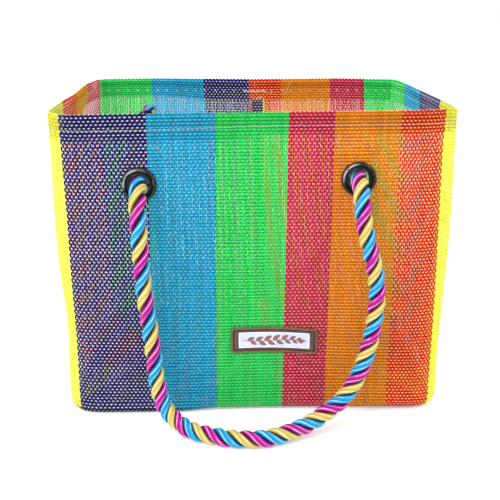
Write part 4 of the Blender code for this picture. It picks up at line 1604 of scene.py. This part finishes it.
# %% Label finishes
def label_finish():
    """Moulded leather-brown frame: a pale bead, fine pitting, and painted shade in its groove and at its
    inner edge by the plate.
    """
    make = Finish("moulded brown frame", {"Specular IOR Level": 0.35})
    inset, _, _ = make.parts("ring")
    pits = make.noise(make.place(), 1500.0, 4.0)
    cloud = make.noise(make.place(), 160.0, 3.0)
    bead = inset.step(2.0, 1.6)
    colour = make.mix(bead, rgba(82, 63, 54), rgba(104, 78, 56))
    # Painted shade in the groove.
    colour = make.mix(inset.step(1.5, 1.85) * inset.step(2.95, 2.75) * 0.85, colour, rgba(58, 26, 26))
    # Painted shade at the inner edge, where the frame drops to the plate.
    colour = make.mix(inset.step(5.2, 5.7) * 0.85, colour, rgba(36, 26, 50))
    colour = make.mix(cloud.step(0.45, 0.75) * 0.2, colour, rgba(150, 124, 104))
    colour = make.mix(pits.step(0.5, 0.3) * 0.35, colour, rgba(70, 46, 38))
    make.bump(pits * 0.7 + cloud * 0.3, 0.00012, 0.6)
    return make.done(colour, pits * 0.2 + 0.4)


def plate_finish():
    """Pale bluish white enamel: a lighter rim, faint clouds, a slightly dull, finely scratched surface, and
    painted shade at its edge, where it meets the frame.
    """
    make = Finish("pale plate", {"Specular IOR Level": 0.4, "Coat Weight": 0.2, "Coat Roughness": 0.3})
    inset, _, _ = make.parts("ring")
    cloud = make.noise(make.place(), 90.0, 3.0)
    drawn_out = make.node("ShaderNodeMapping", values={"Vector": make.place(), "Scale": (30, 30, 900)})
    scratch = make.noise(drawn_out.outputs[0], 3.0)
    colour = make.mix(cloud.step(0.35, 0.7), rgba(184, 189, 212), rgba(196, 200, 220))
    colour = make.mix(inset.step(7.1, 6.6), colour, rgba(232, 236, 244))
    # Painted shade along the plate's edge, where it meets the frame.
    colour = make.mix(inset.step(6.3, 6.05) * 0.6, colour, rgba(150, 140, 146))
    make.bump(scratch, 0.00003, 0.4)
    return make.done(colour, scratch * 0.15 + 0.3)


label_frame_finish, label_plate_finish = label_finish(), plate_finish()
print("label finishes ready")


# %% Label pieces
def label_piece(name, profile, least, finish, slot, flat_end):
    """One part of the label from its profile; flat_end closes the middle with a single point."""
    local = framed(profile, least)
    inset = np.array(profile)[:, 0]
    ring_at = np.stack(np.broadcast_arrays(inset[:, None], local[..., 2], local[..., 0]), -1)
    if flat_end:
        local[-1] = local[-1].mean(0)
    faces = quads(1, len(profile), local.shape[1], close_around=True)
    points = on_wall(LABEL_ALONG, LABEL_HEIGHT, arched(local).reshape(-1, 3))
    return new_piece(name, points, faces, finish, slot, merge=True, ring=ring_at.reshape(-1, 3))


label_frame = label_piece(
    "moulded_label_frame", FRAME_PROFILE, 1.0, label_frame_finish, "label_frame", False
)
label_plate = label_piece("enamel_label_plate", PLATE_PROFILE, 0.8, label_plate_finish, "label_plate", True)
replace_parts(label_frame, "label_frame")
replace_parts(label_plate, "label_plate")
print("label:", 2 * LABEL_HALF[0], "by", 2 * LABEL_HALF[1], "mm")

# %% [markdown]
# ## Leaf sprig
# A stem and its leaves in low relief decorate the plate. A picture of them would look flat up close, while
# small domed grids catch the light on their crests, helped by a painted highlight along their middles. All
# leaves are worked out as one array, from a table of places, lengths and angles.

# %% Leaf sprig
SPRIG_Z = 1.98
LEAF_TALL = 0.34
LEAF_HALF = 0.24
LEAF_POINTS = (14, 9)
RIB_WIDE = 0.16
RIB_DEEP = 0.16
STEM_HALF = 0.34
STEM_FROM = -24.0
STEM_TO = 20.4
STEM_POINTS = (60, 5)
STEM_SWING = 0.7
STEM_WAVE = 7.5
# Columns: place along the stem, side of it, leaf length, angle from the stem in degrees.
LEAVES = (
    (-20.5, 1, 6.4, 38.0),
    (-18.0, -1, 5.8, 40.0),
    (-14.2, 1, 7.0, 40.0),
    (-11.6, -1, 6.6, 42.0),
    (-7.6, 1, 7.4, 42.0),
    (-5.0, -1, 6.8, 44.0),
    (-1.0, 1, 7.4, 42.0),
    (1.6, -1, 6.8, 44.0),
    (5.6, 1, 6.8, 40.0),
    (8.0, -1, 6.2, 42.0),
    (11.8, 1, 6.0, 38.0),
    (14.0, -1, 5.4, 40.0),
    (17.2, 1, 4.8, 34.0),
    (18.6, -1, 4.4, 36.0),
    (20.2, 1, 4.4, 4.0),
)


def stem_y(x):
    """The stem's gentle S across the plate."""
    return STEM_SWING * np.sin(x / STEM_WAVE) - 0.2


def leaf_sprig():
    """Points, faces and the place across each leaf: a stem and its leaves, each a small domed grid."""
    x = np.linspace(STEM_FROM, STEM_TO, STEM_POINTS[0])[:, None]
    v = np.linspace(-1.0, 1.0, STEM_POINTS[1])[None, :]
    half = STEM_HALF * np.minimum(1.0, (x + 24.8) / 5.0)
    stem = np.stack(np.broadcast_arrays(x, stem_y(x) + v * half, SPRIG_Z + LEAF_TALL * (1 - v**2)), -1)
    stem_across = np.broadcast_to(v, STEM_POINTS).ravel()

    at, side, length, angle = np.array(LEAVES).T[..., None, None]
    u = np.linspace(0.0, 1.0, LEAF_POINTS[0])[None, :, None]
    v = np.linspace(-1.0, 1.0, LEAF_POINTS[1])[None, None, :]
    slope = np.arctan(STEM_SWING / STEM_WAVE * np.cos(at / STEM_WAVE))
    turn = slope + side * np.radians(angle) * (1 - 0.25 * u)
    wide = np.sin(math.pi * u**0.8)
    half = LEAF_HALF * length * wide**0.85
    far = length * u
    leaf_x = at + far * np.cos(turn) - v * half * np.sin(turn)
    leaf_y = stem_y(at) + far * np.sin(turn) + v * half * np.cos(turn)
    rib = RIB_DEEP * np.exp(-((v / RIB_WIDE) ** 2))
    tall = LEAF_TALL * np.sqrt(np.clip(wide, 0, 1)) * (1 - v**2) - rib * np.sin(math.pi * u)
    leaves = np.stack(np.broadcast_arrays(leaf_x, leaf_y, SPRIG_Z + tall), -1)
    leaf_across = (v + 0 * leaf_x).ravel()

    leaf_faces = quads(len(LEAVES), *LEAF_POINTS) + stem_across.size
    faces = np.concatenate([quads(1, *STEM_POINTS), leaf_faces])
    points = np.concatenate([stem.reshape(-1, 3), leaves.reshape(-1, 3)])
    return points, faces[:, ::-1], np.concatenate([stem_across, leaf_across])


def sprig_finish():
    """Red-brown enamel in relief with fine flecks, a painted highlight along the middle of each leaf and of
    the stem, and painted shade along their edges.
    """
    make = Finish("sprig enamel", {"Specular IOR Level": 0.4})
    across, _, _ = make.parts("ring")
    fleck = make.noise(make.place(), 2600.0, 3.0)
    edge = abs(across).step(0.55, 1.0)
    colour = make.mix(fleck.step(0.35, 0.65), rgba(112, 66, 60), rgba(140, 92, 84))
    # Painted shade along the edges of the leaves and the stem.
    colour = make.mix(edge * 0.6, colour, rgba(84, 50, 50))
    # A painted highlight along their middles.
    colour = make.mix(abs(across).step(0.2, 0.0) * 0.4, colour, rgba(178, 140, 134))
    make.bump(fleck, 0.00003, 0.5)
    return make.done(colour, fleck * 0.2 + 0.32)


local, faces, across = leaf_sprig()
ring_at = np.stack([across, local[:, 2], local[:, 0]], -1)
points = on_wall(LABEL_ALONG, LABEL_HEIGHT, arched(local))
new_piece("label_leaf_sprig", points, faces, sprig_finish(), "label_plate", ring=ring_at)

print("sprig:", len(LEAVES), "leaves on a stem")

# %% [markdown]
# ## Stitches round the plate
# The frame's groove holds a row of stitches. They are threads like those of the hem, laid along the middle
# line of the groove.

# %% Label stitches
# They run round the middle of the frame's groove, and each fills seven tenths of its pitch.
GROOVE_INSET = (2.35, 2.05)
GROOVE_HEIGHT = 1.5
LABEL_STITCH = 2.5
BROWN = linear(96, 66, 52)
loop = rounded(*GROOVE_INSET, LABEL_CORNER - 2.0)
loop = np.concatenate([loop, loop[:1]])
count = round(length_of(loop) / LABEL_STITCH)
seam = even_steps(np.concatenate([loop, np.full((len(loop), 1), GROOVE_HEIGHT)], 1), 10 * count + 1)
starts, ends = on_wall(LABEL_ALONG, LABEL_HEIGHT, arched(np.stack([seam[1::10], seam[8::10]])))
out = np.broadcast_to(patch_axes(LABEL_ALONG, LABEL_HEIGHT)[3], starts.shape)
threads("label_stitches", starts, ends, out, 0.26, BROWN, "label_frame", bow=0.12)
print("label stitches:", count, "round the plate")

# %% [markdown]
# ## Floor and light
# The photo is a product shot: a white ground that fades into a white background, and soft light from all
# sides. A bright even world does most of it. A long narrow lamp at the upper left gives the yarns and ropes
# their sheen, together with the highlights painted into their colours.

# %% Stage
FLOOR_SIZE = 12.0
LAMPS_AIM = (0.0, 0.0, 0.1)
# Columns: name, place in metres, width and height in metres, turn in degrees, watts.
LAMPS = (
    ("strip", (-1.1, -1.0, 1.2), 0.2, 1.8, -40.0, 20.0),
    ("fill", (1.3, -0.6, 1.2), 1.2, 1.2, 0.0, 8.0),
    ("top", (0.0, 0.3, 1.8), 1.6, 1.6, 0.0, 9.0),
)

world = bpy.data.worlds.new("white room")
world.use_nodes = True
backdrop = world.node_tree.nodes["Background"].inputs
backdrop["Color"].default_value = (1.0, 1.0, 1.0, 1.0)
backdrop["Strength"].default_value = 1.0
bpy.context.scene.world = world
bpy.context.scene.view_settings.view_transform = "Standard"

floor_finish = Finish("pale floor", {"Specular IOR Level": 0.1, "Emission Strength": 0.22})
grain = floor_finish.noise(floor_finish.place(), 60.0)
paper = floor_finish.mix(grain * 0.3, rgba(254, 254, 254), rgba(249, 249, 250))
floor_finish.feed(floor_finish.shader.inputs["Emission Color"], paper)
floor_finish.done(paper, grain * 0.1 + 0.6)
bpy.ops.mesh.primitive_plane_add(size=FLOOR_SIZE)
floor = bpy.context.object
floor.name = "floor"
floor.data.materials.append(floor_finish.material)

for name, place, wide, tall, turn, watts in LAMPS:
    lamp_data = bpy.data.lights.new(name, "AREA")
    lamp_data.shape = "RECTANGLE"
    lamp_data.size = wide
    lamp_data.size_y = tall
    lamp_data.energy = watts
    lamp = bpy.data.objects.new(name, lamp_data)
    bpy.context.scene.collection.objects.link(lamp)
    lamp.location = place
    facing = (Vector(LAMPS_AIM) - Vector(place)).to_track_quat("-Z", "Y")
    lamp.rotation_euler = (facing @ Quaternion((0.0, 0.0, 1.0), math.radians(turn))).to_euler()
print("stage: floor, white room and", len(LAMPS), "lamps")

# %% [markdown]
# ## Pieces and triangles
# The pieces made here are counted, with their triangles.

# %% Finish
print(len(counted), "pieces with", sum(counted), "triangles")
